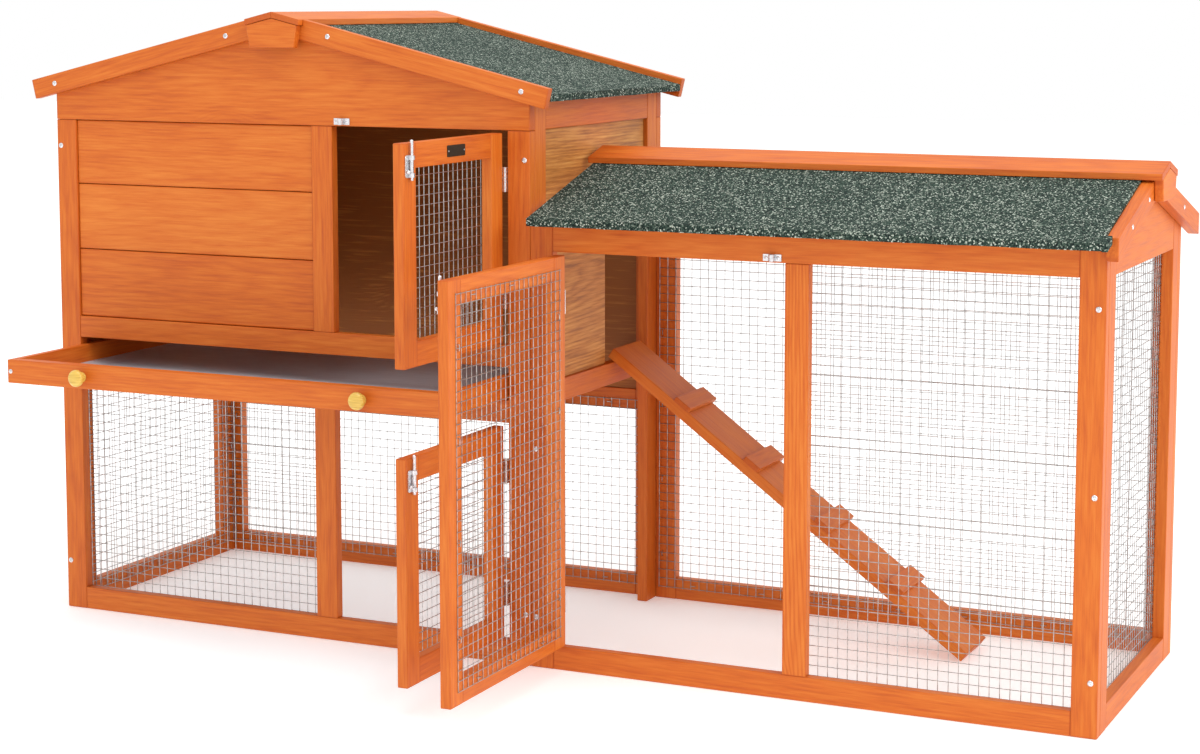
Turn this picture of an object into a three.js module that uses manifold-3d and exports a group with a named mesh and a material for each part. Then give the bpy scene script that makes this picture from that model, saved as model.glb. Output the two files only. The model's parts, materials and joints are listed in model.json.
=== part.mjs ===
// Two-storey rabbit hutch with an attached run.
// Millimetres, +Z up. The house stands on the left, the run on the right.
// Working coordinates have x = 0 at the house's left face, y = 0 at the front face
// and z = 0 on the ground. The last lines move the origin under the middle of the
// whole hutch, doors open and tray pulled out.

import * as THREE from 'three';
import { mergeVertices } from 'three/addons/utils/BufferGeometryUtils.js';
import Module from 'manifold-3d';

const wasm = await Module();
wasm.setup();

// ---------------------------------------------------------------- driving dimensions

const LENGTH = 1490; // house and run together, over the frames
const HOUSE_WIDTH = 745;
const DEPTH = 420; // over the front and back frames
const MEMBER = 32; // width of a stile
const RAIL = 31; // height of a bottom rail
const BOARD = 15; // thickness of every frame member
const GAP = 0.3; // clearance between pieces that touch
const HALF_GAP = GAP / 2;

// Heights in the house front, from the ground up.
const TRAY_RAIL_Z = 320;
const TRAY_SLOT_Z = 350;
const FLOOR_RAIL_Z = 393;
const UPPER_ROOM_Z = 423;
const EAVES_Z = 701;

// Columns in the house front.
const MID_STILE_X = 418;
const DOORWAY_X = 450;
const RIGHT_STILE_X = 713;

// Side frames of the house.
const FLOOR_SIDE_Z = 337;
const FLOOR_SIDE_TOP = 367;
const BACK_STILE_Y = 373;
const RAMP_DOOR_Y = 240; // the doorway in the right wall starts here
const RAMP_DOOR_BACK = 370;
const RAMP_DOOR_TOP = 565;
const PANEL = 6; // thickness of the plywood walls
const PANEL_INSET = 5; // side face to plywood
const BACK_PANEL_Y = 408;
const RUNNER_HEIGHT = 15;
const RUNNER_INNER_X = 60; // house side to the runner's inner edge

// Run frames.
const RUN_X = HOUSE_WIDTH + GAP;
const RUN_DOOR_X = 777;
const RUN_DOOR_END = 1094;
const RUN_MID_END = 1125;
const RUN_RIGHT_X = 1458;
const RUN_RAIL_Z = 547;
const RUN_SIDE_TOP = 591;

// House roof: the ridge runs front to back.
const HOUSE_RIDGE_X = HOUSE_WIDTH / 2;
const HOUSE_RIDGE_Z = 843.5; // top of the felt at the ridge
const HOUSE_SLOPE = 0.2375;
const HOUSE_EAVE = 402.5; // ridge to eave, measured flat
const ROOF_THICKNESS = 10;

// Run roof: the ridge runs left to right.
const RUN_RIDGE_Y = DEPTH / 2;
const RUN_RIDGE_Z = 663;
const RUN_SLOPE = 0.29;
const RUN_EAVE = 245;
const RUN_ROOF_X = 757;

// Caps, bargeboards and gable blocks.
const CAP_THICKNESS = 8;
const HOUSE_CAP_HALF = 42;
const RUN_CAP_HALF = 46;
const BARGE_THICKNESS = 12;
const BARGE_HEIGHT = 27;
const BARGE_RISE = 8.5; // house bargeboards stand above the felt
const RUN_BARGE_DROP = 3; // the run's sit a little below it
const BLOCK_THICKNESS = 11.7;
const BLOCK_FOOT_HALF = 34.5;
const BLOCK_SHOULDER_HALF = 40;
const HOUSE_BLOCK_Z = 804; // underside of the house's gable block
const RUN_BLOCK_Z = 624;
const HOUSE_BARGE_HALF = 405.5; // ridge to tip, measured flat
const RUN_BARGE_HALF = 251;
const RUN_BARGE_FRONT = -10;
const RUN_LIP_BACK = -11; // the front eave runs on past the end as a lip, from here forward
const RUN_LIP_LENGTH = 8;
const RUN_CAP_X = 750;
const CAP_CLEARANCE = 0.5; // felt to cap
const SEAT_CLEARANCE = 0.2; // cap to the boards and blocks under it

// Doors: the hinge axis stands in front of the gap beside the door.
const DOOR_THICKNESS = 14;
const DOOR_MEMBER = 31;
const AXIS_TO_FACE = 3;
const AXIS_TO_EDGE = 0.5;
const DOOR_CLEARANCE = 2.5;
const DOOR_LIFT = 3; // clearance above and below a door
const OPEN = Math.PI / 2;

// Hinges.
const KNUCKLE_RADIUS = 2.2;
const LEAF = 1;
const LEAF_DEPTH = 16;
const HINGE_HEIGHT = 32;
const HINGE_INSET = 44; // door end to hinge end

// Barrel bolts.
const ROD_RADIUS = 2.1;
const ROD_TO_FACE = 4.1;
const BOLT_WIDTH = 20;
const BOLT_TOP = 14.5; // door top to the top of the base plate
const BOLT_HEIGHT = 27;
const STRAP_HEIGHT = 5.5;
const ROD_ABOVE = 4; // at rest the rod stands this far above the door
const ROD_BELOW = 45;
const HANDLE_BELOW = 34.3;
const HANDLE_REACH = 8.5;
const HANDLE_RADIUS = 1.4;
const HANDLE_BALL = 2.4;
const BOLT_FROM_EDGE = 14;
const KEEPER_HEIGHT = 8.5;
const KEEPER_HALF = 12;
const ROD_PLAY = 0.4; // round the rod in its straps
const KEEPER_ABOVE = 5; // door top to the keeper

// Tray.
const TRAY_OUT = 163; // how far it is pulled out
const TRAY_X = 33.5;
const TRAY_END = 711.5;
const TRAY_Z = 351;
const TRAY_HEIGHT = 32;
const TRAY_SIDE = 10;
const TRAY_DEPTH = 395;
const TRAY_FLOOR_Z = 354;
const TRAY_FLOOR = 1.2;
const KNOB_X = [157, 589];
const KNOB_RADIUS = 11.5;
const KNOB_FOOT_RADIUS = 7;
const KNOB_WAIST_RADIUS = 6;
const KNOB_LENGTH = 19;

// Ramp.
const RAMP_LENGTH = 634;
const RAMP_WIDTH = 90;
const RAMP_THICKNESS = 15;
const RAMP_Y = 254;
const RAMP_TOP = [746.5, 387]; // x and z of the upper edge of the top face
const RAMP_FOOT_Z = 1;
const CLEATS = 4;
const CLEAT = [26, 8, 96]; // along the ramp, thick, across the ramp

// Wire mesh panels: a plain grid of bars as heavy as the fine wire mesh.
const MESH_THICKNESS = 2.4;
const MESH_BAR = 3;
const MESH_PITCH = 95;
const MESH_END = 2; // the bars' ends past the outermost crossing
const MESH_BITE = 0.6;
const MESH_LAP = 15; // the mesh overlaps the inside of its frame
const MESH_CORNER = 18; // clear of the mesh on the next side
const RUN_MESH_INSET = 5; // house side to the mesh on the run's back

// Where the origin lies in the working coordinates.
const ORIGIN = [741.85, 73, 0];

// ---------------------------------------------------------------- materials

function finish(color, roughness, metalness = 0) {
  return new THREE.MeshStandardMaterial({ color, roughness, metalness });
}

const STAINED_WOOD = finish(0xe27b3c, 0.6);
const PLYWOOD = finish(0xb98247, 0.65);
const ROOF_FELT = finish(0x3f5a4c, 0.95);
const GALVANISED = finish(0xb9bcbf, 0.4, 0.9);
const ZINC = finish(0xc9ccd0, 0.32, 0.95);
const TRAY_STEEL = finish(0x8b8a90, 0.45, 0.6);
const KNOB_PAINT = finish(0xe9cf5a, 0.45);

// ---------------------------------------------------------------- helpers

const hutch = new THREE.Group();

function add(name, geometry, material, parent = hutch) {
  const mesh = new THREE.Mesh(geometry, material);
  mesh.name = name;
  parent.add(mesh);
  return mesh;
}

// A box between two corners.
function slab([x0, x1], [y0, y1], [z0, z1]) {
  const box = new THREE.BoxGeometry(x1 - x0, y1 - y0, z1 - z0);
  return box.translate((x0 + x1) / 2, (y0 + y1) / 2, (z0 + z1) / 2);
}

function outline(points) {
  return new THREE.Shape(points.map(([u, v]) => new THREE.Vector2(u, v)));
}

function rectangle([u0, u1], [v0, v1]) {
  return outline([[u0, v0], [u1, v0], [u1, v1], [u0, v1]]);
}

// Extrusions of a flat outline: (x, z) along y, (y, z) along x, and (x, y) along z.
const TURNS = {
  x: new THREE.Matrix4().makeBasis(
    new THREE.Vector3(0, 1, 0), new THREE.Vector3(0, 0, 1), new THREE.Vector3(1, 0, 0)),
  y: new THREE.Matrix4().makeBasis(
    new THREE.Vector3(1, 0, 0), new THREE.Vector3(0, 0, 1), new THREE.Vector3(0, -1, 0)),
  z: new THREE.Matrix4(),
};

function extrude(shape, axis, [from, to]) {
  const options = { depth: to - from, bevelEnabled: false, curveSegments: 8 };
  const geometry = new THREE.ExtrudeGeometry(shape, options).applyMatrix4(TURNS[axis]);
  const shift = { x: [from, 0, 0], y: [0, to, 0], z: [0, 0, from] }[axis];
  return geometry.translate(...shift);
}

function toSolid(geometry) {
  const bare = geometry.clone();
  bare.deleteAttribute('normal');
  bare.deleteAttribute('uv');
  const merged = mergeVertices(bare, 1e-4);
  return new wasm.Manifold(new wasm.Mesh({
    numProp: 3,
    vertProperties: new Float32Array(merged.attributes.position.array),
    triVerts: new Uint32Array(merged.index.array),
  }));
}

function toGeometry(solid) {
  const mesh = solid.getMesh();
  const geometry = new THREE.BufferGeometry();
  geometry.setAttribute('position', new THREE.BufferAttribute(mesh.vertProperties, 3));
  geometry.setIndex(new THREE.BufferAttribute(mesh.triVerts, 1));
  geometry.computeVertexNormals();
  return geometry;
}

function join(...geometries) {
  return toGeometry(geometries.map(toSolid).reduce((whole, piece) => whole.add(piece)));
}

// An extruded outline with holes cut right through it.
function pierce(shape, holes, axis, [from, to]) {
  const cutters = holes.map((hole) => toSolid(extrude(hole, axis, [from - 1, to + 1])));
  const body = toSolid(extrude(shape, axis, [from, to]));
  return toGeometry(cutters.reduce((rest, cutter) => rest.subtract(cutter), body));
}

// Welded bars filling a rectangle: the upright ones lie on one side, the level ones are
// let halfway into them, and all their ends stand a little past the last crossing.
function grid([u0, u1], [v0, v1], axis, [from, to]) {
  const bars = [];
  const columns = Math.round((u1 - u0) / MESH_PITCH);
  const rows = Math.round((v1 - v0) / MESH_PITCH);
  for (let i = 0; i <= columns; i += 1) {
    const u = u0 + MESH_END + (u1 - u0 - 2 * MESH_END - MESH_BAR) * i / columns;
    const bar = rectangle([u, u + MESH_BAR], [v0, v1]);
    bars.push(extrude(bar, axis, [from, to - MESH_BITE]));
  }
  for (let j = 0; j <= rows; j += 1) {
    const v = v0 + MESH_END + (v1 - v0 - 2 * MESH_END - MESH_BAR) * j / rows;
    const bar = rectangle([u0, u1], [v, v + MESH_BAR]);
    bars.push(extrude(bar, axis, [from + MESH_BITE, to]));
  }
  return join(...bars);
}

// ---------------------------------------------------------------- roofs

const houseFelt = (x) => HOUSE_RIDGE_Z - HOUSE_SLOPE * Math.abs(x - HOUSE_RIDGE_X);
const runFelt = (y) => RUN_RIDGE_Z - RUN_SLOPE * Math.abs(y - RUN_RIDGE_Y);
const upright = (thickness, slope) => thickness * Math.hypot(1, slope);
const houseUnder = (x) => houseFelt(x) - upright(ROOF_THICKNESS, HOUSE_SLOPE) - GAP;
const runUnder = (y) => runFelt(y) - upright(ROOF_THICKNESS, RUN_SLOPE) - GAP;

// One roof board, seen end on: from the eave to the ridge along a sloping top line.
function roofBoard(eave, ridge, topLine, thickness) {
  return outline([
    [eave, topLine(eave) - thickness],
    [ridge, topLine(ridge) - thickness],
    [ridge, topLine(ridge)],
    [eave, topLine(eave)],
  ]);
}

// The inverted V of a ridge cap, or a pair of joined bargeboards.
function chevron(centre, half, topLine, drop) {
  return outline([
    [centre - half, topLine(centre - half) - drop],
    [centre, topLine(centre) - drop],
    [centre + half, topLine(centre + half) - drop],
    [centre + half, topLine(centre + half)],
    [centre, topLine(centre)],
    [centre - half, topLine(centre - half)],
  ]);
}

// The block that closes the end of a ridge cap.
function gableBlock(centre, topLine, bottom) {
  return outline([
    [centre - BLOCK_FOOT_HALF, bottom],
    [centre + BLOCK_FOOT_HALF, bottom],
    [centre + BLOCK_SHOULDER_HALF, topLine(centre + BLOCK_SHOULDER_HALF)],
    [centre, topLine(centre)],
    [centre - BLOCK_SHOULDER_HALF, topLine(centre - BLOCK_SHOULDER_HALF)],
  ]);
}

function buildHouseRoof() {
  const thickness = upright(ROOF_THICKNESS, HOUSE_SLOPE);
  for (const [name, side] of [['house_roof_left', -1], ['house_roof_right', 1]]) {
    const eave = HOUSE_RIDGE_X + side * HOUSE_EAVE;
    const board = roofBoard(eave, HOUSE_RIDGE_X + side * HALF_GAP, houseFelt, thickness);
    add(name, extrude(board, 'y', [0, DEPTH]), ROOF_FELT);
  }

  const capHeight = upright(CAP_THICKNESS, HOUSE_SLOPE);
  const capTop = (x) => houseFelt(x) + CAP_CLEARANCE + capHeight;
  const cap = chevron(HOUSE_RIDGE_X, HOUSE_CAP_HALF, capTop, capHeight);
  const front = -2 * BARGE_THICKNESS;
  add('house_ridge_cap', extrude(cap, 'y', [front, DEPTH + BARGE_THICKNESS]), STAINED_WOOD);

  const seat = (x) => houseFelt(x) + SEAT_CLEARANCE;
  const block = gableBlock(HOUSE_RIDGE_X, seat, HOUSE_BLOCK_Z);
  add('house_gable_block',
    extrude(block, 'y', [front, front + BLOCK_THICKNESS]), STAINED_WOOD);

  for (const [name, side] of [['front_bargeboard_left', -1], ['front_bargeboard_right', 1]]) {
    const board = houseBargeboard(side, HALF_GAP);
    add(name, extrude(board, 'y', [-BARGE_THICKNESS, -GAP]), STAINED_WOOD);
  }
  const back = [DEPTH + GAP, DEPTH + BARGE_THICKNESS];
  add('back_bargeboards',
    join(...[-1, 1].map((side) => extrude(houseBargeboard(side, 0), 'y', back))), STAINED_WOOD);
}

// A house bargeboard, cut square at its foot and let in under the ridge cap.
function houseBargeboard(side, inset) {
  const slant = Math.hypot(1, HOUSE_SLOPE);
  const top = (x) => houseFelt(x) + BARGE_RISE;
  const drop = upright(BARGE_HEIGHT, HOUSE_SLOPE);
  const tip = HOUSE_RIDGE_X + side * HOUSE_BARGE_HALF;
  const foot = [
    tip - side * BARGE_HEIGHT * HOUSE_SLOPE / slant,
    top(tip) - BARGE_HEIGHT / slant,
  ];
  const ridge = HOUSE_RIDGE_X + side * inset;
  const step = HOUSE_RIDGE_X + side * (HOUSE_CAP_HALF + GAP);
  return outline([
    foot,
    [ridge, top(ridge) - drop],
    [ridge, houseFelt(ridge) + SEAT_CLEARANCE],
    [step, houseFelt(step) + SEAT_CLEARANCE],
    [step, top(step)],
    [tip, top(tip)],
  ]);
}

function buildRunRoof() {
  const thickness = upright(ROOF_THICKNESS, RUN_SLOPE);
  const front = RUN_RIDGE_Y - RUN_EAVE;
  const lip = roofBoard(front, RUN_LIP_BACK, runFelt, thickness);
  const board = roofBoard(front, RUN_RIDGE_Y - HALF_GAP, runFelt, thickness);
  add('run_roof_front', join(
    extrude(board, 'x', [RUN_ROOF_X, LENGTH]),
    extrude(lip, 'x', [LENGTH - 1, LENGTH + RUN_LIP_LENGTH]),
  ), ROOF_FELT);
  const rear = roofBoard(RUN_RIDGE_Y + RUN_EAVE, RUN_RIDGE_Y + HALF_GAP, runFelt, thickness);
  add('run_roof_back', extrude(rear, 'x', [RUN_ROOF_X, LENGTH]), ROOF_FELT);

  const capHeight = upright(CAP_THICKNESS, RUN_SLOPE);
  const capTop = (y) => runFelt(y) + CAP_CLEARANCE + capHeight;
  const cap = chevron(RUN_RIDGE_Y, RUN_CAP_HALF, capTop, capHeight);
  const end = LENGTH + BOARD + BLOCK_THICKNESS;
  add('run_ridge_cap', extrude(cap, 'x', [RUN_CAP_X, end]), STAINED_WOOD);
  const block = gableBlock(RUN_RIDGE_Y, (y) => runFelt(y) + SEAT_CLEARANCE, RUN_BLOCK_Z);
  add('run_gable_block', extrude(block, 'x', [LENGTH + BOARD + GAP, end]), STAINED_WOOD);

  // The end bargeboards are cut plumb at their feet; the front one stops behind the felt's lip.
  const top = (y) => runFelt(y) - RUN_BARGE_DROP;
  const drop = upright(BARGE_HEIGHT, RUN_SLOPE);
  const rearTip = RUN_RIDGE_Y + RUN_BARGE_HALF;
  const boards = outline([
    [RUN_BARGE_FRONT, top(RUN_BARGE_FRONT) - drop],
    [RUN_RIDGE_Y, top(RUN_RIDGE_Y) - drop],
    [rearTip, top(rearTip) - drop],
    [rearTip, top(rearTip)],
    [RUN_RIDGE_Y, top(RUN_RIDGE_Y)],
    [RUN_BARGE_FRONT, top(RUN_BARGE_FRONT)],
  ]);
  add('run_bargeboards', extrude(boards, 'x', [LENGTH + GAP, LENGTH + BOARD]), STAINED_WOOD);
}

// ---------------------------------------------------------------- house walls

const FRONT = [0, BOARD];
const BACK = [DEPTH - BOARD, DEPTH];
const SIDE = [BOARD + GAP, DEPTH - BOARD - GAP]; // side frames stand between front and back
const INSIDE_FRONT = [BOARD + GAP, BOARD + GAP + MESH_THICKNESS];
const INSIDE_BACK = [DEPTH - BOARD - GAP - MESH_THICKNESS, DEPTH - BOARD - GAP];
const RUNNER_Z = [TRAY_SLOT_Z - RUNNER_HEIGHT, TRAY_SLOT_Z];
const LOWER_MESH_Z = [RAIL - MESH_LAP, RUNNER_Z[0] - 1];

function buildHouseFront() {
  // Stiles and rails: open above the upper bays, where the gable board closes them.
  const frame = outline([
    [0, 0], [HOUSE_WIDTH, 0], [HOUSE_WIDTH, EAVES_Z - GAP], [RIGHT_STILE_X, EAVES_Z - GAP],
    [RIGHT_STILE_X, UPPER_ROOM_Z], [DOORWAY_X, UPPER_ROOM_Z], [DOORWAY_X, EAVES_Z - GAP],
    [MID_STILE_X, EAVES_Z - GAP], [MID_STILE_X, UPPER_ROOM_Z], [MEMBER, UPPER_ROOM_Z],
    [MEMBER, EAVES_Z - GAP], [0, EAVES_Z - GAP],
  ]);
  const bays = [
    rectangle([MEMBER, MID_STILE_X], [RAIL, TRAY_RAIL_Z]),
    rectangle([DOORWAY_X, RIGHT_STILE_X], [RAIL, TRAY_RAIL_Z]),
    rectangle([MEMBER, RIGHT_STILE_X], [TRAY_SLOT_Z, FLOOR_RAIL_Z]),
  ];
  add('house_front_frame', pierce(frame, bays, 'y', FRONT), STAINED_WOOD);

  const gable = outline([
    [0, EAVES_Z], [HOUSE_WIDTH, EAVES_Z], [HOUSE_WIDTH, houseUnder(HOUSE_WIDTH)],
    [HOUSE_RIDGE_X, houseUnder(HOUSE_RIDGE_X)], [0, houseUnder(0)],
  ]);
  add('front_gable_board', extrude(gable, 'y', FRONT), STAINED_WOOD);

  // Three horizontal boards, set back from the frame, with a groove at each joint.
  const face = 3;
  const back = 13;
  const groove = 1.5;
  const joints = [519, 611];
  const section = [[back, UPPER_ROOM_Z + GAP], [back, EAVES_Z - GAP], [face, EAVES_Z - GAP]];
  for (const z of joints.toReversed()) {
    section.push([face, z + groove], [face + groove, z], [face, z - groove]);
  }
  section.push([face, UPPER_ROOM_Z + GAP]);
  add('front_cladding',
    extrude(outline(section), 'x', [MEMBER + GAP, MID_STILE_X - GAP]), STAINED_WOOD);

  add('house_front_mesh',
    grid([MESH_CORNER, MID_STILE_X + MESH_LAP], LOWER_MESH_Z, 'y', INSIDE_FRONT), GALVANISED);
}

function buildLeftSide() {
  const bays = [
    rectangle([BOARD + MEMBER, BACK_STILE_Y], [RAIL, FLOOR_SIDE_Z]),
    rectangle([BOARD + MEMBER, BACK_STILE_Y], [FLOOR_SIDE_TOP, EAVES_Z]),
  ];
  const frame = pierce(rectangle(SIDE, [0, houseUnder(0)]), bays, 'x', [0, BOARD]);
  add('left_side_frame', frame, STAINED_WOOD);
  add('left_wall_panel', slab([PANEL_INSET, PANEL_INSET + PANEL],
    [BOARD + MEMBER + GAP, BACK_STILE_Y - GAP],
    [FLOOR_SIDE_TOP + GAP, EAVES_Z - GAP]), PLYWOOD);
  add('left_side_mesh',
    grid([MESH_CORNER, DEPTH - MESH_CORNER], LOWER_MESH_Z, 'x', INSIDE_FRONT), GALVANISED);
}

function buildRightSide() {
  const x = [HOUSE_WIDTH - BOARD, HOUSE_WIDTH];
  const top = houseUnder(HOUSE_WIDTH);
  // Open at the ground between the two stiles, so the lower room joins the run.
  const frame = outline([
    [SIDE[0], 0], [BOARD + MEMBER, 0], [BOARD + MEMBER, FLOOR_SIDE_Z],
    [RAMP_DOOR_BACK, FLOOR_SIDE_Z], [RAMP_DOOR_BACK, 0], [SIDE[1], 0],
    [SIDE[1], top], [SIDE[0], top],
  ]);
  const bay = rectangle([BOARD + MEMBER, RAMP_DOOR_BACK], [FLOOR_SIDE_TOP, EAVES_Z]);
  add('right_side_frame', pierce(frame, [bay], 'x', x), STAINED_WOOD);

  const panel = outline([
    [BOARD + MEMBER + GAP, FLOOR_SIDE_TOP + GAP], [RAMP_DOOR_Y, FLOOR_SIDE_TOP + GAP],
    [RAMP_DOOR_Y, RAMP_DOOR_TOP], [RAMP_DOOR_BACK - GAP, RAMP_DOOR_TOP],
    [RAMP_DOOR_BACK - GAP, EAVES_Z - GAP], [BOARD + MEMBER + GAP, EAVES_Z - GAP],
  ]);
  const face = HOUSE_WIDTH - PANEL_INSET;
  add('right_wall_panel', extrude(panel, 'x', [face - PANEL, face]), PLYWOOD);
}

function buildHouseBack() {
  const midRail = [275, 305];
  const frame = outline([
    [0, 0], [HOUSE_WIDTH, 0], [HOUSE_WIDTH, houseUnder(HOUSE_WIDTH)],
    [HOUSE_RIDGE_X, houseUnder(HOUSE_RIDGE_X)], [0, houseUnder(0)],
  ]);
  const bays = [
    rectangle([MEMBER, RIGHT_STILE_X], [RAIL, midRail[0]]),
    rectangle([MEMBER, RIGHT_STILE_X], [midRail[1], EAVES_Z]),
  ];
  add('house_back_frame', pierce(frame, bays, 'y', BACK), STAINED_WOOD);
  add('back_wall_panel', slab([MEMBER + GAP, RIGHT_STILE_X - GAP],
    [BACK_PANEL_Y, BACK_PANEL_Y + PANEL], [midRail[1] + GAP, EAVES_Z - GAP]), PLYWOOD);
  const meshHeight = [RAIL - MESH_LAP, midRail[0] + MESH_LAP];
  add('house_back_mesh',
    grid([MESH_CORNER, HOUSE_WIDTH - MESH_CORNER], meshHeight, 'y', INSIDE_BACK), GALVANISED);
}

function buildTrayRunners() {
  const length = [MESH_CORNER, DEPTH - MESH_CORNER];
  const inner = [BOARD + GAP, RUNNER_INNER_X];
  add('tray_runner_left', slab(inner, length, RUNNER_Z), STAINED_WOOD);
  add('tray_runner_right',
    slab([HOUSE_WIDTH - inner[1], HOUSE_WIDTH - inner[0]], length, RUNNER_Z), STAINED_WOOD);
}

// ---------------------------------------------------------------- run walls

function buildRun() {
  // The mid stile is a piece of its own between the rails.
  const wall = rectangle([RUN_X, LENGTH], [0, RUN_SIDE_TOP]);
  const opening = rectangle([RUN_DOOR_X, RUN_RIGHT_X], [RAIL, RUN_RAIL_Z]);
  add('run_front_frame', pierce(wall, [opening], 'y', FRONT), STAINED_WOOD);
  add('run_mid_stile',
    slab([RUN_DOOR_END, RUN_MID_END], FRONT, [RAIL + GAP, RUN_RAIL_Z - GAP]), STAINED_WOOD);
  const meshHeight = [RAIL - MESH_LAP, RUN_RAIL_Z + MESH_LAP];
  const frontMesh = [RUN_DOOR_END + MESH_LAP, LENGTH - MESH_CORNER];
  add('run_front_mesh', grid(frontMesh, meshHeight, 'y', INSIDE_FRONT), GALVANISED);

  add('run_back_frame', pierce(wall, [opening], 'y', BACK), STAINED_WOOD);
  const backMesh = [RUN_X + RUN_MESH_INSET, LENGTH - MESH_CORNER];
  add('run_back_mesh', grid(backMesh, meshHeight, 'y', INSIDE_BACK), GALVANISED);

  const end = outline([
    [SIDE[0], 0], [SIDE[1], 0], [SIDE[1], runUnder(SIDE[1])],
    [RUN_RIDGE_Y, runUnder(RUN_RIDGE_Y)], [SIDE[0], runUnder(SIDE[0])],
  ]);
  const bay = rectangle([BOARD + MEMBER, BACK_STILE_Y], [RAIL, RUN_RAIL_Z]);
  add('run_end_frame', pierce(end, [bay], 'x', [LENGTH - BOARD, LENGTH]), STAINED_WOOD);
  const inside = LENGTH - BOARD - GAP;
  add('run_end_mesh', grid([MESH_CORNER, DEPTH - MESH_CORNER], meshHeight, 'x',
    [inside - MESH_THICKNESS, inside]), GALVANISED);
}

// ---------------------------------------------------------------- doors

// A flat strap with a round tunnel for the bolt, in (x, y), standing on the line y = 0.
function strap(halfWidth, range) {
  const bend = ROD_TO_FACE - GAP;
  const start = Math.acos((ROD_TO_FACE - GAP - LEAF) / bend);
  const shape = new THREE.Shape();
  shape.moveTo(halfWidth, -GAP);
  shape.lineTo(-halfWidth, -GAP);
  shape.lineTo(-halfWidth, -GAP - LEAF);
  shape.absarc(0, -ROD_TO_FACE, bend, Math.PI / 2 + start, Math.PI / 2 - start + 2 * Math.PI, false);
  shape.lineTo(halfWidth, -GAP - LEAF);
  const tunnel = new THREE.Shape();
  tunnel.absarc(0, -ROD_TO_FACE, ROD_RADIUS + ROD_PLAY, 0, 2 * Math.PI, false);
  return pierce(shape, [tunnel], 'z', range);
}

// A door in its own group: the hinge axis is the group's z axis, and the door lies
// along x on the side given by reach, closed until the group is turned.
function buildDoor(name, { axisX, width, bottom, top, reach, turn }) {
  const door = new THREE.Group();
  door.position.set(axisX, -AXIS_TO_FACE, 0);
  door.rotation.z = turn;
  hutch.add(door);

  const along = (near, far) => [reach * near, reach * far].sort((a, b) => a - b);
  const edges = along(AXIS_TO_EDGE, AXIS_TO_EDGE + width);
  const opening = [edges[0] + DOOR_MEMBER, edges[1] - DOOR_MEMBER];
  const hole = rectangle(opening, [bottom + DOOR_MEMBER, top - DOOR_MEMBER]);
  const face = AXIS_TO_FACE;
  const back = face + DOOR_THICKNESS;
  const frame = pierce(rectangle(edges, [bottom, top]), [hole], 'y', [face, back]);
  add(`${name}_frame`, frame, STAINED_WOOD, door);

  const lap = DOOR_MEMBER - MESH_LAP;
  const mesh = grid([edges[0] + lap, edges[1] - lap], [bottom + lap, top - lap], 'y',
    [back + GAP, back + GAP + MESH_THICKNESS]);
  add(`${name}_mesh`, mesh, GALVANISED, door);

  const boltX = reach * (AXIS_TO_EDGE + width - BOLT_FROM_EDGE);
  const plateTop = top - BOLT_TOP;
  const plateBottom = plateTop - BOLT_HEIGHT;
  const half = BOLT_WIDTH / 2;
  const plate = join(
    slab([-half, half], [-GAP - LEAF, -GAP], [plateBottom, plateTop]),
    strap(half, [plateTop - STRAP_HEIGHT, plateTop]),
    strap(half, [plateBottom, plateBottom + STRAP_HEIGHT]),
  );
  add(`${name}_bolt_plate`, plate.translate(boltX, face, 0), ZINC, door);

  const rod = new THREE.CylinderGeometry(ROD_RADIUS, ROD_RADIUS, ROD_ABOVE + ROD_BELOW, 12);
  rod.rotateX(Math.PI / 2).translate(0, -ROD_TO_FACE, top + (ROD_ABOVE - ROD_BELOW) / 2);
  const arm = new THREE.CylinderGeometry(HANDLE_RADIUS, HANDLE_RADIUS, HANDLE_REACH, 8);
  const ball = new THREE.SphereGeometry(HANDLE_BALL, 10, 8);
  const handleZ = top - HANDLE_BELOW;
  arm.rotateZ(Math.PI / 2).translate(reach * HANDLE_REACH / 2, -ROD_TO_FACE, handleZ);
  ball.translate(reach * HANDLE_REACH, -ROD_TO_FACE, handleZ);
  add(`${name}_bolt_rod`, join(rod, arm, ball).translate(boltX, face, 0), ZINC, door);

  // The keeper and the hinges stay on the fixed frame.
  const keeperX = axisX + boltX;
  const keeper = strap(KEEPER_HALF, [top + KEEPER_ABOVE, top + KEEPER_ABOVE + KEEPER_HEIGHT]);
  add(`${name}_keeper`, keeper.translate(keeperX, 0, 0), ZINC);
  const places = [['upper', top - HINGE_INSET - HINGE_HEIGHT], ['lower', bottom + HINGE_INSET]];
  for (const [place, z] of places) {
    const hinge = extrude(hingeOutline(-reach), 'z', [z, z + HINGE_HEIGHT]);
    add(`${name}_hinge_${place}`, hinge.translate(axisX, -AXIS_TO_FACE, 0), ZINC);
  }
}

// Knuckle and fixed leaf of a butt hinge; side is where the frame stands.
function hingeOutline(side) {
  const outer = KNUCKLE_RADIUS;
  const inner = outer - LEAF;
  const meet = Math.acos(inner / outer);
  const shape = new THREE.Shape();
  if (side > 0) {
    shape.moveTo(outer, LEAF_DEPTH);
    shape.lineTo(inner, LEAF_DEPTH);
    shape.absarc(0, 0, outer, meet, 2 * Math.PI, false);
  } else {
    shape.moveTo(-inner, LEAF_DEPTH);
    shape.lineTo(-outer, LEAF_DEPTH);
    shape.absarc(0, 0, outer, Math.PI, 3 * Math.PI - meet, false);
  }
  return shape;
}

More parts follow.
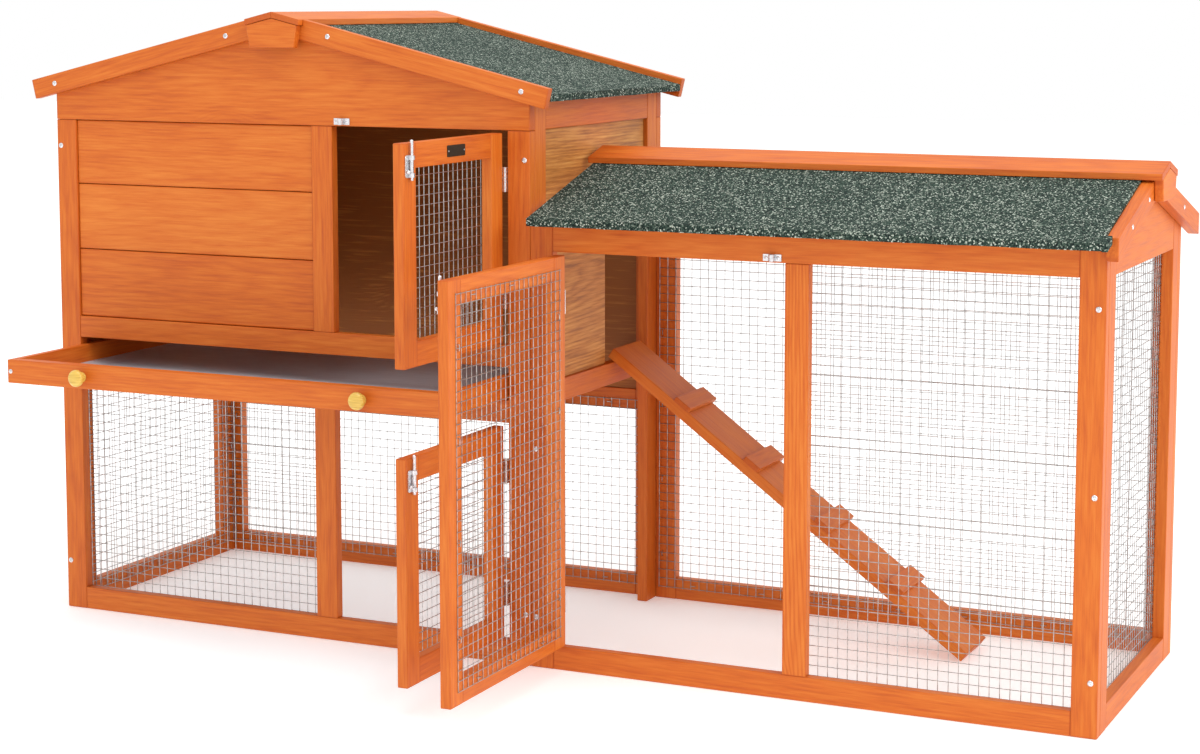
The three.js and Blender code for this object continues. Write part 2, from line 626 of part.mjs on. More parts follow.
function buildDoors() {
  const houseWidth = RIGHT_STILE_X - DOORWAY_X - 2 * DOOR_CLEARANCE - AXIS_TO_EDGE;
  const houseAxis = RIGHT_STILE_X - DOOR_CLEARANCE;
  const house = { axisX: houseAxis, width: houseWidth, reach: -1, turn: OPEN };
  buildDoor('upper_door', { ...house, bottom: UPPER_ROOM_Z + DOOR_LIFT, top: EAVES_Z - DOOR_LIFT });
  buildDoor('lower_door', { ...house, bottom: RAIL + DOOR_LIFT, top: TRAY_RAIL_Z - DOOR_LIFT });
  buildDoor('run_door', {
    axisX: RUN_DOOR_X + DOOR_CLEARANCE,
    width: RUN_DOOR_END - RUN_DOOR_X - 2 * DOOR_CLEARANCE - AXIS_TO_EDGE,
    bottom: RAIL + DOOR_LIFT,
    top: RUN_RAIL_Z - DOOR_LIFT,
    reach: 1,
    turn: -OPEN,
  });
}

// ---------------------------------------------------------------- tray

function buildTray() {
  const tray = new THREE.Group();
  tray.position.y = -TRAY_OUT;
  hutch.add(tray);

  const height = [TRAY_Z, TRAY_Z + TRAY_HEIGHT];
  add('tray_front_board', slab([TRAY_X, TRAY_END], [0, BOARD], height), STAINED_WOOD, tray);

  const start = BOARD + GAP;
  const inner = [TRAY_X + TRAY_SIDE, TRAY_END - TRAY_SIDE];
  const sides = outline([
    [TRAY_X, start], [inner[0], start], [inner[0], TRAY_DEPTH - TRAY_SIDE],
    [inner[1], TRAY_DEPTH - TRAY_SIDE], [inner[1], start], [TRAY_END, start],
    [TRAY_END, TRAY_DEPTH], [TRAY_X, TRAY_DEPTH],
  ]);
  add('tray_side_frame', extrude(sides, 'z', height), STAINED_WOOD, tray);
  add('tray_floor', slab([inner[0] + GAP, inner[1] - GAP],
    [start, TRAY_DEPTH - TRAY_SIDE - GAP], [TRAY_FLOOR_Z, TRAY_FLOOR_Z + TRAY_FLOOR]),
  TRAY_STEEL, tray);

  // Mushroom knobs: a foot, a waist and a domed head.
  const head = new THREE.Path();
  head.moveTo(0, GAP);
  head.lineTo(KNOB_FOOT_RADIUS, GAP);
  head.quadraticCurveTo(5, 6, KNOB_WAIST_RADIUS, 8);
  head.quadraticCurveTo(KNOB_RADIUS, 9, KNOB_RADIUS, 13);
  head.quadraticCurveTo(KNOB_RADIUS - 1, KNOB_LENGTH - 1, 0, KNOB_LENGTH);
  const profile = head.getPoints(5);
  KNOB_X.forEach((x, index) => {
    const knob = add(`tray_knob_${index + 1}`, new THREE.LatheGeometry(profile, 20),
      KNOB_PAINT, tray);
    knob.position.set(x, 0, TRAY_Z + TRAY_HEIGHT / 2);
    knob.rotation.z = Math.PI;
  });
}

// ---------------------------------------------------------------- ramp

function buildRamp() {
  // The ramp lies along its own x axis, its top face at z = 0, and is then tilted down.
  // The tilt brings the lower corner of its foot to RAMP_FOOT_Z.
  const [topX, topZ] = RAMP_TOP;
  const diagonal = Math.hypot(RAMP_LENGTH, RAMP_THICKNESS);
  const tilt = Math.asin((topZ - RAMP_FOOT_Z) / diagonal)
    - Math.atan2(RAMP_THICKNESS, RAMP_LENGTH);
  const pieces = [slab([0, RAMP_LENGTH], [0, RAMP_WIDTH], [-RAMP_THICKNESS, 0])];
  const [width, thickness, across] = CLEAT;
  for (let i = 1; i <= CLEATS; i += 1) {
    const centre = RAMP_LENGTH * i / (CLEATS + 1);
    const overhang = (across - RAMP_WIDTH) / 2;
    pieces.push(slab([centre - width / 2, centre + width / 2],
      [-overhang, RAMP_WIDTH + overhang], [0, thickness]));
  }
  const ramp = add('ramp', join(...pieces), STAINED_WOOD);
  ramp.position.set(topX, RAMP_Y, topZ);
  ramp.rotation.y = tilt;
}

// ---------------------------------------------------------------- assembly

buildHouseFront();
buildLeftSide();
buildRightSide();
buildHouseBack();
buildTrayRunners();
buildHouseRoof();
buildRun();
buildRunRoof();
buildDoors();
buildTray();
buildRamp();

hutch.position.set(...ORIGIN.map((value) => -value));
hutch.updateMatrixWorld(true);

export default hutch;
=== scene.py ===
"""Looks of a two-storey rabbit hutch: its boards, felt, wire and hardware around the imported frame.

Metres, in the row frame: +X from the house to the run, +Y from front to back, +Z up.
"""

import json
import math
import random

import bmesh
import bpy
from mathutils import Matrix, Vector, noise


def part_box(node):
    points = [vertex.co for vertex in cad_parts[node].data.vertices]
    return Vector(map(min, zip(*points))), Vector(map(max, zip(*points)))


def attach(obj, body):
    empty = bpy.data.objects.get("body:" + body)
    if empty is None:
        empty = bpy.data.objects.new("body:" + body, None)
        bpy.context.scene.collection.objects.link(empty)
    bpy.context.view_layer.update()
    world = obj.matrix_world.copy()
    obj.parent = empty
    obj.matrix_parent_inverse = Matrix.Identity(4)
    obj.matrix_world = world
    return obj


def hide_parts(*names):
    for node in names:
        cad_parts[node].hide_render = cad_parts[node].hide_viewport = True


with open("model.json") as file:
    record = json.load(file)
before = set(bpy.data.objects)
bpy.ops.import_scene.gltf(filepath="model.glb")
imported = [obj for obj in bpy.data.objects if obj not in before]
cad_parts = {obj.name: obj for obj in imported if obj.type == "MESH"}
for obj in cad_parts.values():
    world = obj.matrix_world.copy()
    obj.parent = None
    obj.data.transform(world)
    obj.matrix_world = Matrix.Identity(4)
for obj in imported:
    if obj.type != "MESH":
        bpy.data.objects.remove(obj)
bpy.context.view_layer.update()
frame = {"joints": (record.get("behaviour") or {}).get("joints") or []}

RANDOM = random.Random(11)
UP = Vector((0, 0, 1))

# ---- sizes

STILE = 0.032
RAIL = 0.031
TRAY_RAIL = (0.320, 0.350)
FLOOR_RAIL = (0.393, 0.423)
MID_STILE = 0.418  # from the house's left face
SIDE_STILE = 0.0317
SIDE_FLOOR_RAIL = (0.337, 0.367)
EAVES = 0.701
BACK_RAIL = (0.275, 0.305)
RUN_TOP_RAIL = 0.547
CLADDING_JOINTS = (0.519, 0.611)
REVEAL = 0.0003  # a rail stands this far behind the stiles' faces
EASE = 0.0011  # rounding of a board's edges
PANEL_EASE = 0.0005  # and of a plywood panel's
BLOCK_EASE = 0.0016  # and of a gable block's

HOUSE_SLOPE = 0.2375
RUN_SLOPE = 0.29
ROOF_THICKNESS = 0.010
FELT = 0.0026
CAP_THICKNESS = 0.008
BARGE_HEIGHT = 0.027
BARGE_RISE = 0.0085  # of the house's bargeboards over the felt
BARGE_SINK = 0.003  # of the run's bargeboards below the top of the felt

TRAY_SIDE = 0.010

MESH_PITCH = 0.0127
WIRE_RADIUS = 0.0005
STAPLE_WIDTH = 0.0075
SCREW_RADIUS = 0.0036

GAP = 0.0003  # clearance that the frame keeps between touching pieces
SHEET = 0.001  # sheet metal of the bolts and hinges
ROD_RADIUS = 0.0021
ROD_CENTRE = 0.0041  # from the face that the bolt is screwed to
ROD_PLAY = 0.0004  # round the rod in its straps
STRAP_HEIGHT = 0.0055
HANDLE_REACH = 0.0085
HANDLE_RADIUS = 0.0014
HANDLE_BALL = 0.0024
KNUCKLE_RADIUS = 0.0022
PIN_RADIUS = 0.0011
LEAF_WIDTH = 0.016


class Box:
    """The box of a CAD node at rest."""

    def __init__(self, node):
        low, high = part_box(node)
        self.x0, self.y0, self.z0 = low
        self.x1, self.y1, self.z1 = high
        self.x = (self.x0, self.x1)
        self.y = (self.y0, self.y1)
        self.z = (self.z0, self.z1)


HOUSE = Box("house_front_frame")
HOUSE_BACK = Box("house_back_frame")
RUN = Box("run_front_frame")
RUN_BACK = Box("run_back_frame")
RIDGE_X = (Box("house_roof_left").x1 + Box("house_roof_right").x0) / 2
RIDGE_Y = (Box("run_roof_front").y1 + Box("run_roof_back").y0) / 2
HOUSE_TOP = Box("house_roof_left").z1
RUN_TOP = Box("run_roof_back").z1


def house_felt(x):
    return HOUSE_TOP - HOUSE_SLOPE * abs(x - RIDGE_X)


def run_felt(y):
    return RUN_TOP - RUN_SLOPE * abs(y - RIDGE_Y)


def upright(thickness, slope):
    """The plumb height of a sloping board of that thickness."""
    return thickness * math.hypot(1, slope)


def recessed(span):
    """A rail's thickness, a hair inside that of the stiles."""
    return (span[0] + REVEAL, span[1] - REVEAL)


def split(span, first, last=None):
    """A side's first member, its last one and the room between them."""
    near = (span[0], span[0] + first)
    far = (span[1] - (last or first), span[1])
    return near, far, (near[1], far[0])


# ---- camera, light and floor

def look_along(item, direction):
    item.rotation_mode = "QUATERNION"
    item.rotation_quaternion = direction.to_track_quat("-Z", "Y")


def make_camera():
    from_corner = Vector((2.1163, -2.7319, 0.8666))
    yaw = -0.4358
    pitch = -0.1068
    data = bpy.data.cameras.new("camera")
    data.sensor_width = 36
    data.lens = 71.7
    data.shift_y = -0.1
    camera = bpy.data.objects.new("camera", data)
    camera.location = Vector((HOUSE.x0, HOUSE.y0, HOUSE.z0)) + from_corner
    level = math.cos(pitch)
    look_along(camera, Vector((math.sin(yaw) * level, math.cos(yaw) * level, math.sin(pitch))))
    bpy.context.scene.collection.objects.link(camera)
    bpy.context.scene.camera = camera


def soft_light(name, place, aim, size, power):
    data = bpy.data.lights.new(name, "AREA")
    data.shape = "SQUARE"
    data.size = size
    data.energy = power
    lamp = bpy.data.objects.new(name, data)
    lamp.location = place
    look_along(lamp, Vector(aim) - Vector(place))
    bpy.context.scene.collection.objects.link(lamp)


def make_studio():
    middle = (0, 0, 0.4)
    soft_light("key_light", (4.2, -1.2, 2.6), middle, size=2.2, power=75)
    soft_light("top_light", (0.3, -0.4, 4.2), middle, size=3.0, power=60)
    world = bpy.data.worlds.new("studio")
    world.use_nodes = True
    background = world.node_tree.nodes["Background"]
    background.inputs["Color"].default_value = (1, 1, 1, 1)
    background.inputs["Strength"].default_value = 1.0
    bpy.context.scene.world = world
    bpy.context.scene.view_settings.view_transform = "Standard"


# ---- materials

class Shader:
    """A material and short calls for building its node tree."""

    def __init__(self, name, roughness, metallic=0.0, specular=0.36):
        self.material = bpy.data.materials.new(name)
        self.material.use_nodes = True
        self.tree = self.material.node_tree
        self.surface = self.tree.nodes["Principled BSDF"]
        self.surface.inputs["Roughness"].default_value = roughness
        self.surface.inputs["Metallic"].default_value = metallic
        self.surface.inputs["Specular IOR Level"].default_value = specular

    def node(self, kind, inputs=(), **settings):
        made = self.tree.nodes.new(kind)
        for key, value in settings.items():
            setattr(made, key, value)
        for key, value in dict(inputs).items():
            self.put(made.inputs[key], value)
        return made

    def put(self, socket, value):
        if isinstance(value, bpy.types.NodeSocket):
            self.tree.links.new(value, socket)
        else:
            socket.default_value = value

    def attribute(self, name, output="Vector"):
        made = self.node("ShaderNodeAttribute", attribute_name=name, attribute_type="GEOMETRY")
        return made.outputs[output]

    def place(self):
        return self.node("ShaderNodeTexCoord").outputs["Object"]

    def vector(self, operation, a, b):
        made = self.node("ShaderNodeVectorMath", {0: a, 1: b}, operation=operation)
        return made.outputs["Vector"]

    def math(self, operation, a, b=0.0):
        made = self.node("ShaderNodeMath", {0: a, 1: b}, operation=operation)
        return made.outputs["Value"]

    def plus(self, a, b):
        return self.math("ADD", a, b)

    def minus(self, a, b):
        return self.math("SUBTRACT", a, b)

    def times(self, a, b):
        return self.math("MULTIPLY", a, b)

    def parts(self, vector):
        made = self.node("ShaderNodeSeparateXYZ", {0: vector})
        return [made.outputs[axis] for axis in "XYZ"]

    def noise(self, vector, scale=1.0, detail=3.0, roughness=0.55):
        inputs = {"Vector": vector, "Scale": scale, "Detail": detail, "Roughness": roughness}
        return self.node("ShaderNodeTexNoise", inputs).outputs["Fac"]

    def stretched(self, vector, scale, detail):
        """Noise with a scale of its own along each axis."""
        return self.noise(self.vector("MULTIPLY", vector, scale), detail=detail)

    def cells(self, vector, scale=1.0):
        return self.node("ShaderNodeTexVoronoi", {"Vector": vector, "Scale": scale})

    def spread(self, value, low, high, to_low=0.0, to_high=1.0):
        """Maps low..high smoothly to to_low..to_high."""
        inputs = {0: value, 1: low, 2: high, 3: to_low, 4: to_high}
        made = self.node("ShaderNodeMapRange", inputs, interpolation_type="SMOOTHSTEP")
        return made.outputs["Result"]

    def blend(self, factor, a, b):
        return self.node("ShaderNodeMix", {0: factor, 6: a, 7: b}, data_type="RGBA").outputs[2]

    def ramp(self, value, *stops):
        """A colour ramp; each stop is a position and a colour."""
        made = self.node("ShaderNodeValToRGB", {0: value})
        elements = made.color_ramp.elements
        while len(elements) < len(stops):
            elements.new(0.5)
        for element, (position, colour) in zip(elements, stops):
            element.position = position
            element.color = (*colour, 1)
        return made.outputs["Color"]

    def colour(self, value):
        self.put(self.surface.inputs["Base Color"], value)

    def shine(self, pattern, amount, base):
        """Roughness that rises from base with a pattern."""
        inputs = {0: pattern, 1: amount, 2: base}
        made = self.node("ShaderNodeMath", inputs, operation="MULTIPLY_ADD")
        self.put(self.surface.inputs["Roughness"], made.outputs["Value"])

    def relief(self, height, distance, strength):
        inputs = {"Height": height, "Distance": distance, "Strength": strength}
        bump = self.node("ShaderNodeBump", inputs)
        self.put(self.surface.inputs["Normal"], bump.outputs["Normal"])


# Scales per metre along, across and through a board.
KNOT_CELLS = (5.5, 13.0, 1.5)
SWAY = (4.0, 28.0, 28.0)
STREAKS = (13.0, 210.0, 210.0)
FIBRES = (34.0, 900.0, 900.0)
STAIN_PATCHES = (7.0, 26.0, 26.0)

RINGS_PER_METRE = 230.0
PITH_TILT = 0.05
RING_SWAY = 3.0
RING_BEND = 3.2  # how many rings give way round a knot


def knots(shade, grain):
    """One cell in five holds a knot: how near it is, and where its dark core is."""
    spots = shade.cells(shade.vector("MULTIPLY", grain, KNOT_CELLS))
    distance = spots.outputs["Distance"]
    chosen = shade.spread(shade.parts(spots.outputs["Color"])[0], 0.80, 0.82)
    near = shade.times(shade.spread(distance, 0.0, 0.34, 1, 0), chosen)
    core = shade.times(shade.spread(distance, 0.05, 0.085, 1, 0), chosen)
    return near, core


def growth_rings(shade, grain, near):
    """The dark late wood of rings round a slightly tilted pith."""
    along, across, deep = shade.parts(grain)
    tilt = shade.plus(deep, shade.times(along, PITH_TILT))
    reach = shade.plus(shade.times(tilt, tilt), shade.times(across, across))
    sway = shade.stretched(grain, SWAY, 2.0)
    rings = shade.times(shade.math("SQRT", reach), RINGS_PER_METRE)
    rings = shade.plus(rings, shade.times(sway, RING_SWAY))
    rings = shade.plus(rings, shade.times(near, RING_BEND))
    late = shade.math("POWER", shade.math("PINGPONG", rings, 0.5), 1.8)
    return shade.times(late, 3.2)


def edge_stain(shade, body, local, stain, dark):
    """Darker end grain, and stain gathered along the edges."""
    inward = shade.vector("ABSOLUTE", local, (0, 0, 0))
    room = shade.vector("SUBTRACT", shade.attribute("half"), inward)
    ends, sides, faces = shade.parts(room)
    end_grain = shade.spread(ends, 0.0006, 0.0016, 0.55, 0.0)
    body = shade.blend(end_grain, body, (*dark, 1))
    nearest = shade.math("MAXIMUM", sides, faces)
    nearest = shade.math("MINIMUM", nearest, shade.math("MAXIMUM", ends, 0.0))
    rim = shade.times(shade.spread(nearest, 0.0004, 0.0032, 0.3, 0.0), stain)
    return shade.blend(rim, body, (*dark, 1))


def wood(name, dark, middle, light, knot, figure=0.10, streaks=1.0, roughness=0.5):
    """Boards with growth rings, streaks, pores and knots that follow each board's own grain.

    Each board's mesh carries its grain (along, across, deep), half its size, a seed and a tone.
    """
    shade = Shader(name, roughness)
    local = shade.attribute("grain")
    grain = shade.vector("ADD", local, shade.attribute("seed"))
    near, core = knots(shade, grain)
    late = growth_rings(shade, grain, near)
    long_streaks = shade.stretched(grain, STREAKS, 4.0)
    fibres = shade.stretched(grain, FIBRES, 2.0)
    stain = shade.stretched(grain, STAIN_PATCHES, 2.0)

    value = shade.plus(shade.attribute("tone", "Fac"), 0.5 + 0.33 * figure)
    for layer, weight in ((long_streaks, streaks), (fibres, 0.45), (stain, 0.4)):
        share = shade.times(shade.minus(layer, 0.5), weight)
        value = shade.plus(value, share)
    value = shade.minus(value, shade.times(late, figure))
    value = shade.minus(value, shade.times(near, 0.14))
    body = shade.ramp(value, (0.14, dark), (0.5, middle), (0.86, light))
    body = shade.blend(core, body, (*knot, 1))
    shade.colour(edge_stain(shade, body, local, stain, dark))

    shade.shine(long_streaks, 0.22, roughness - 0.1)
    height = shade.plus(fibres, shade.times(long_streaks, 0.8))
    height = shade.minus(height, shade.times(late, 0.35))
    shade.relief(height, 0.00035, 0.45)
    return shade.material


def felt_material():
    """Mineral granules on bitumen: mostly dark green, with some pale grains."""
    granules_per_metre = 640
    shade = Shader("roof_felt", 0.93, specular=0.25)
    place = shade.place()
    grains = shade.cells(place, granules_per_metre)
    random_grain = shade.parts(grains.outputs["Color"])[0]
    patches = shade.noise(place, 9, 3)
    pick = shade.plus(random_grain, shade.times(patches, 0.10))
    shade.colour(shade.ramp(
        pick,
        (0.00, (0.005, 0.010, 0.009)), (0.34, (0.010, 0.022, 0.018)),
        (0.55, (0.021, 0.043, 0.033)), (0.78, (0.048, 0.080, 0.060)),
        (0.92, (0.12, 0.160, 0.125)), (1.0, (0.48, 0.53, 0.45)),
    ))
    shade.relief(grains.outputs["Distance"], 0.0011, 0.85)
    return shade.material


def metal(name, colour, worn, roughness, scale):
    """Plated or galvanised steel with a mottled, slightly uneven finish."""
    shade = Shader(name, roughness, 0.92)
    place = shade.place()
    mottle = shade.spread(shade.noise(place, scale, 3), 0.35, 0.7)
    shade.colour(shade.blend(mottle, (*colour, 1), (*worn, 1)))
    shade.shine(mottle, 0.16, roughness - 0.05)
    shade.relief(shade.noise(place, scale * 5, 2), 0.0001, 0.4)
    return shade.material


def lined(shade, scale, detail, relief, *stops):
    """The colour of a surface with fine lines along its own axes, and their relief."""
    lines = shade.stretched(shade.place(), scale, detail)
    shade.relief(lines, *relief)
    return shade.ramp(lines, *stops)


def tray_material():
    """Painted grey sheet steel with faint rolling lines and scuffs."""
    shade = Shader("tray_steel", 0.38, 0.15)
    paint = lined(shade, (6, 300, 1), 3, (0.0001, 0.4),
                  (0.2, (0.48, 0.49, 0.54)), (0.8, (0.60, 0.61, 0.66)))
    scuffs = shade.spread(shade.noise(shade.place(), 28, 4, 0.7), 0.45, 0.75)
    shade.colour(shade.blend(shade.times(scuffs, 0.35), paint, (0.70, 0.70, 0.74, 1)))
    return shade.material


def knob_material():
    """Lacquered pale wood."""
    shade = Shader("knob_wood", 0.33)
    shade.surface.inputs["Coat Weight"].default_value = 0.35
    shade.surface.inputs["Coat Roughness"].default_value = 0.18
    shade.colour(lined(shade, (40, 160, 700), 4, (0.0001, 0.5),
                       (0.25, (0.52, 0.30, 0.045)), (0.55, (0.72, 0.47, 0.085)),
                       (0.8, (0.84, 0.62, 0.15))))
    return shade.material


def label_material():
    """A plain, dark anodised plate with a brushed finish."""
    shade = Shader("label_plate", 0.4, 0.6)
    shade.colour(lined(shade, (300, 60, 2500), 3, (0.00005, 0.4),
                       (0.25, (0.018, 0.013, 0.008)), (0.8, (0.05, 0.038, 0.02))))
    return shade.material


def floor_material():
    shade = Shader("studio_floor", 0.9)
    haze = shade.noise(shade.place(), 3, 2)
    shade.colour(shade.ramp(haze, (0.3, (0.91, 0.91, 0.91)), (0.7, (0.94, 0.94, 0.94))))
    shade.surface.inputs["Emission Color"].default_value = (1, 1, 1, 1)
    shade.surface.inputs["Emission Strength"].default_value = 0.28
    return shade.material


# Colours from the darkest grain to the lightest, and that of the knots.
STAIN = ((0.46, 0.073, 0.004), (0.61, 0.134, 0.009), (0.70, 0.200, 0.024), (0.16, 0.022, 0.003))
VENEER = ((0.30, 0.095, 0.014), (0.53, 0.200, 0.038), (0.70, 0.34, 0.090), (0.22, 0.07, 0.012))

WOOD = wood("stained_wood", *STAIN, streaks=0.85)
FIGURED = wood("figured_wood", *STAIN, figure=0.34)
PLYWOOD = wood("plywood", *VENEER, figure=0.22, streaks=1.3, roughness=0.55)
ROOF_FELT = felt_material()
WIRE = metal("galvanised_wire", (0.52, 0.51, 0.50), (0.32, 0.31, 0.30), roughness=0.34, scale=140)
ZINC = metal("zinc_plate", (0.78, 0.78, 0.80), (0.62, 0.62, 0.64), roughness=0.26, scale=220)
TRAY_STEEL = tray_material()
KNOB_WOOD = knob_material()
LABEL = label_material()


# ---- making pieces

def link(name, mesh, material, body, slot, nodes):
    mesh.materials.append(material)
    piece = bpy.data.objects.new(name, mesh)
    bpy.context.scene.collection.objects.link(piece)
    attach(piece, body)
    if nodes:
        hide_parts(*nodes)
    return piece


class Wood:
    """What a group of boards has in common: the nodes they stand for, body, slot and material. The
    slot is not used.
    """

    def __init__(self, *nodes, body="hutch", slot="stained_wood", material=None, tone=0.0):
        self.nodes = nodes
        self.tone = tone
        self.body = body
        self.slot = slot
        self.material = material or WOOD

    def prism(self, name, outline, axis, span, along=None, thin=None, ease=EASE):
        """An outline in the two other axes, drawn out along an axis over span.

        along is the direction of the grain, level in the outline unless given. thin is that of
        the board's thickness, the axis unless given.
        """
        first, second, third = {"x": (1, 2, 0), "y": (0, 2, 1), "z": (0, 1, 2)}[axis]
        units = (Vector((1, 0, 0)), Vector((0, 1, 0)), UP)
        shape = bmesh.new()
        rings = []
        for depth in span:
            ring = []
            for u, v in outline:
                point = [0, 0, 0]
                point[first], point[second], point[third] = u, v, depth
                ring.append(shape.verts.new(point))
            rings.append(ring)
            shape.faces.new(ring)
        near, far = rings
        for i in range(len(outline)):
            shape.faces.new((near[i - 1], near[i], far[i], far[i - 1]))
        bmesh.ops.recalc_face_normals(shape, faces=shape.faces)
        bmesh.ops.bevel(shape, geom=list(shape.edges), offset=ease, segments=2, profile=0.6,
                        affect="EDGES", clamp_overlap=True)
        return self.finish(name, shape, Vector(along or units[first]), Vector(thin or units[third]))

    def board(self, name, x, y, z, grain, ease=EASE):
        """A straight board between six planes."""
        sizes = [x[1] - x[0], y[1] - y[0], z[1] - z[0]]
        axes = [Vector((1, 0, 0)), Vector((0, 1, 0)), UP]
        length = "xyz".index(grain)
        others = [i for i in range(3) if i != length]
        thin = min(others, key=lambda i: sizes[i])
        outline = [(x[0], y[0]), (x[1], y[0]), (x[1], y[1]), (x[0], y[1])]
        return self.prism(name, outline, "z", z, axes[length], axes[thin], ease)

    def finish(self, name, shape, along, thin):
        """Turns the shape into a piece whose mesh carries the board's own grain."""
        along.normalize()
        thin.normalize()
        across = thin.cross(along)
        mesh = bpy.data.meshes.new(name)
        shape.to_mesh(mesh)
        shape.free()
        for face in mesh.polygons:
            face.use_smooth = True
        local = [Vector((v.co @ along, v.co @ across, v.co @ thin)) for v in mesh.vertices]
        low = [min(p[i] for p in local) for i in range(3)]
        high = [max(p[i] for p in local) for i in range(3)]
        centre = Vector([(a + b) / 2 for a, b in zip(low, high)])
        half = Vector([(b - a) / 2 for a, b in zip(low, high)])
        seed = (RANDOM.uniform(-0.9, 0.9), RANDOM.uniform(-0.05, 0.05), RANDOM.uniform(0.02, 0.09))
        tone = self.tone + RANDOM.gauss(0, 0.04)
        grain = mesh.attributes.new("grain", "FLOAT_VECTOR", "POINT")
        grain.data.foreach_set("vector", [c for p in local for c in p - centre])
        for key, value in (("half", half), ("seed", seed)):
            layer = mesh.attributes.new(key, "FLOAT_VECTOR", "POINT")
            layer.data.foreach_set("vector", list(value) * len(mesh.vertices))
        layer = mesh.attributes.new("tone", "FLOAT", "POINT")
        layer.data.foreach_set("value", [tone] * len(mesh.vertices))
        piece = link(name, mesh, self.material, self.body, self.slot, self.nodes)
        weighted = piece.modifiers.new("weighted_normals", "WEIGHTED_NORMAL")
        weighted.keep_sharp = True
        return piece


class Soup:
    """Many small closed shapes gathered into one mesh."""

    def __init__(self):
        self.points = []
        self.faces = []

    def skin(self, rings):
        """Joins a row of equal rings of points and fills both ends."""
        start = len(self.points)
        count = len(rings[0])
        for ring in rings:
            self.points.extend(ring)
        for row in range(len(rings) - 1):
            near = start + row * count
            far = near + count
            for i in range(count):
                j = (i + 1) % count
                self.faces.append((near + i, near + j, far + j, far + i))
        last = start + (len(rings) - 1) * count
        self.faces.append(tuple(range(start + count - 1, start - 1, -1)))
        self.faces.append(tuple(range(last, last + count)))

    def tube(self, path, radius, sides, reference):
        """A round bar along a path; reference is never parallel to it."""
        rings = []
        for i, point in enumerate(path):
            ahead = path[min(i + 1, len(path) - 1)] - path[max(i - 1, 0)]
            side = ahead.cross(reference).normalized()
            other = side.cross(ahead).normalized()
            rings.append([
                point + radius * (other * math.cos(t) + side * math.sin(t))
                for t in (2 * math.pi * k / sides for k in range(sides))
            ])
        self.skin(rings)

    def turn(self, profile, origin, axis, segments):
        """A turned shape: profile is (radius, height) pairs, and a radius may be a function."""
        axis = Vector(axis).normalized()
        reference = Vector((1, 0, 0)) if abs(axis.dot(UP)) > 0.9 else UP
        side = axis.cross(reference).normalized()
        other = side.cross(axis)
        rings = []
        for radius, height in profile:
            ring = []
            for k in range(segments):
                t = 2 * math.pi * k / segments
                reach = radius(t) if callable(radius) else radius
                spoke = other * math.cos(t) + side * math.sin(t)
                ring.append(origin + axis * height + spoke * reach)
            rings.append(ring)
        self.skin(rings)

    def screw(self, origin, axis, size=1.0):
        """A pan head with a cross recess, turned to a random angle."""
        arm = 0.0020 * size
        width = 0.00052 * size
        never_zero = 1e-6
        twist = RANDOM.uniform(0, math.pi / 2)

        def recess(share):
            """The cross's outline as a radius round the head."""
            def reach(t):
                c = abs(math.cos(t + twist)) + never_zero
                s = abs(math.sin(t + twist)) + never_zero
                return share * max(min(arm / c, width / s), min(width / c, arm / s))
            return reach

        head = SCREW_RADIUS * size
        self.turn([
            (head * 0.98, -GAP), (head, 0.0003 * size), (head * 0.86, 0.0009 * size),
            (head * 0.62, 0.00125 * size), (recess(1.05), 0.00135 * size),
            (recess(0.95), 0.0012 * size), (recess(0.7), 0.0004 * size),
        ], Vector(origin), axis, 48)

    def piece(self, name, material, body, slot, *nodes):
        mesh = bpy.data.meshes.new(name)
        mesh.from_pydata([tuple(p) for p in self.points], [], self.faces)
        shape = bmesh.new()
        shape.from_mesh(mesh)
        bmesh.ops.recalc_face_normals(shape, faces=shape.faces)
        shape.to_mesh(mesh)
        shape.free()
        mesh.shade_smooth()
        mesh.set_sharp_from_angle(angle=math.radians(35))
        return link(name, mesh, material, body, slot, nodes)


class Place:
    """A local frame on an upright face: a to one side, b out of the face, c up."""

    def __init__(self, origin, side, out):
        self.origin = Vector(origin)
        self.side = Vector(side)
        self.out = Vector(out)

    def at(self, a, b, c):
        return self.origin + self.side * a + self.out * b + UP * c

    def slab(self, soup, outline, b):
        """An outline in a and c, with its thickness along b and eased front edges."""
        centre_a = sum(a for a, _ in outline) / len(outline)
        centre_c = sum(c for _, c in outline) / len(outline)
        ease = 0.00025
        half_a = max(abs(a - centre_a) for a, _ in outline)
        half_c = max(abs(c - centre_c) for _, c in outline)
        rings = []
        for inset, depth in ((0, b[0]), (0, b[1] - ease), (ease, b[1])):
            rings.append([
                self.at(centre_a + (a - centre_a) * (1 - inset / half_a), depth,
                        centre_c + (c - centre_c) * (1 - inset / half_c))
                for a, c in outline
            ])
        soup.skin(rings)

    def fold(self, soup, outline, c):
        """An outline in a and b, drawn out along c."""
        soup.skin([[self.at(a, b, height) for a, b in outline] for height in c])


def rounded(a, c, radius):
    """A rectangle with round corners."""
    steps = 5
    corners = [(a[1] - radius, c[1] - radius, 0), (a[0] + radius, c[1] - radius, 1),
               (a[0] + radius, c[0] + radius, 2), (a[1] - radius, c[0] + radius, 3)]
    points = []
    for x, y, quarter in corners:
        for k in range(steps + 1):
            t = (quarter + k / steps) * math.pi / 2
            points.append((x + radius * math.cos(t), y + radius * math.sin(t)))
    return points


# ---- wire mesh

class Panel:
    """A flat mesh panel's box: its normal axis, and one level axis beside the upright one."""

    def __init__(self, node, axis):
        box = Box(node)
        self.normal = "xyz".index(axis)
        self.level = 1 - self.normal
        self.low = [box.x0, box.y0, box.z0]
        self.high = [box.x1, box.y1, box.z1]

    def other(self, direction):
        """The panel's own axis across a direction in it."""
        return 2 if direction == self.level else self.level


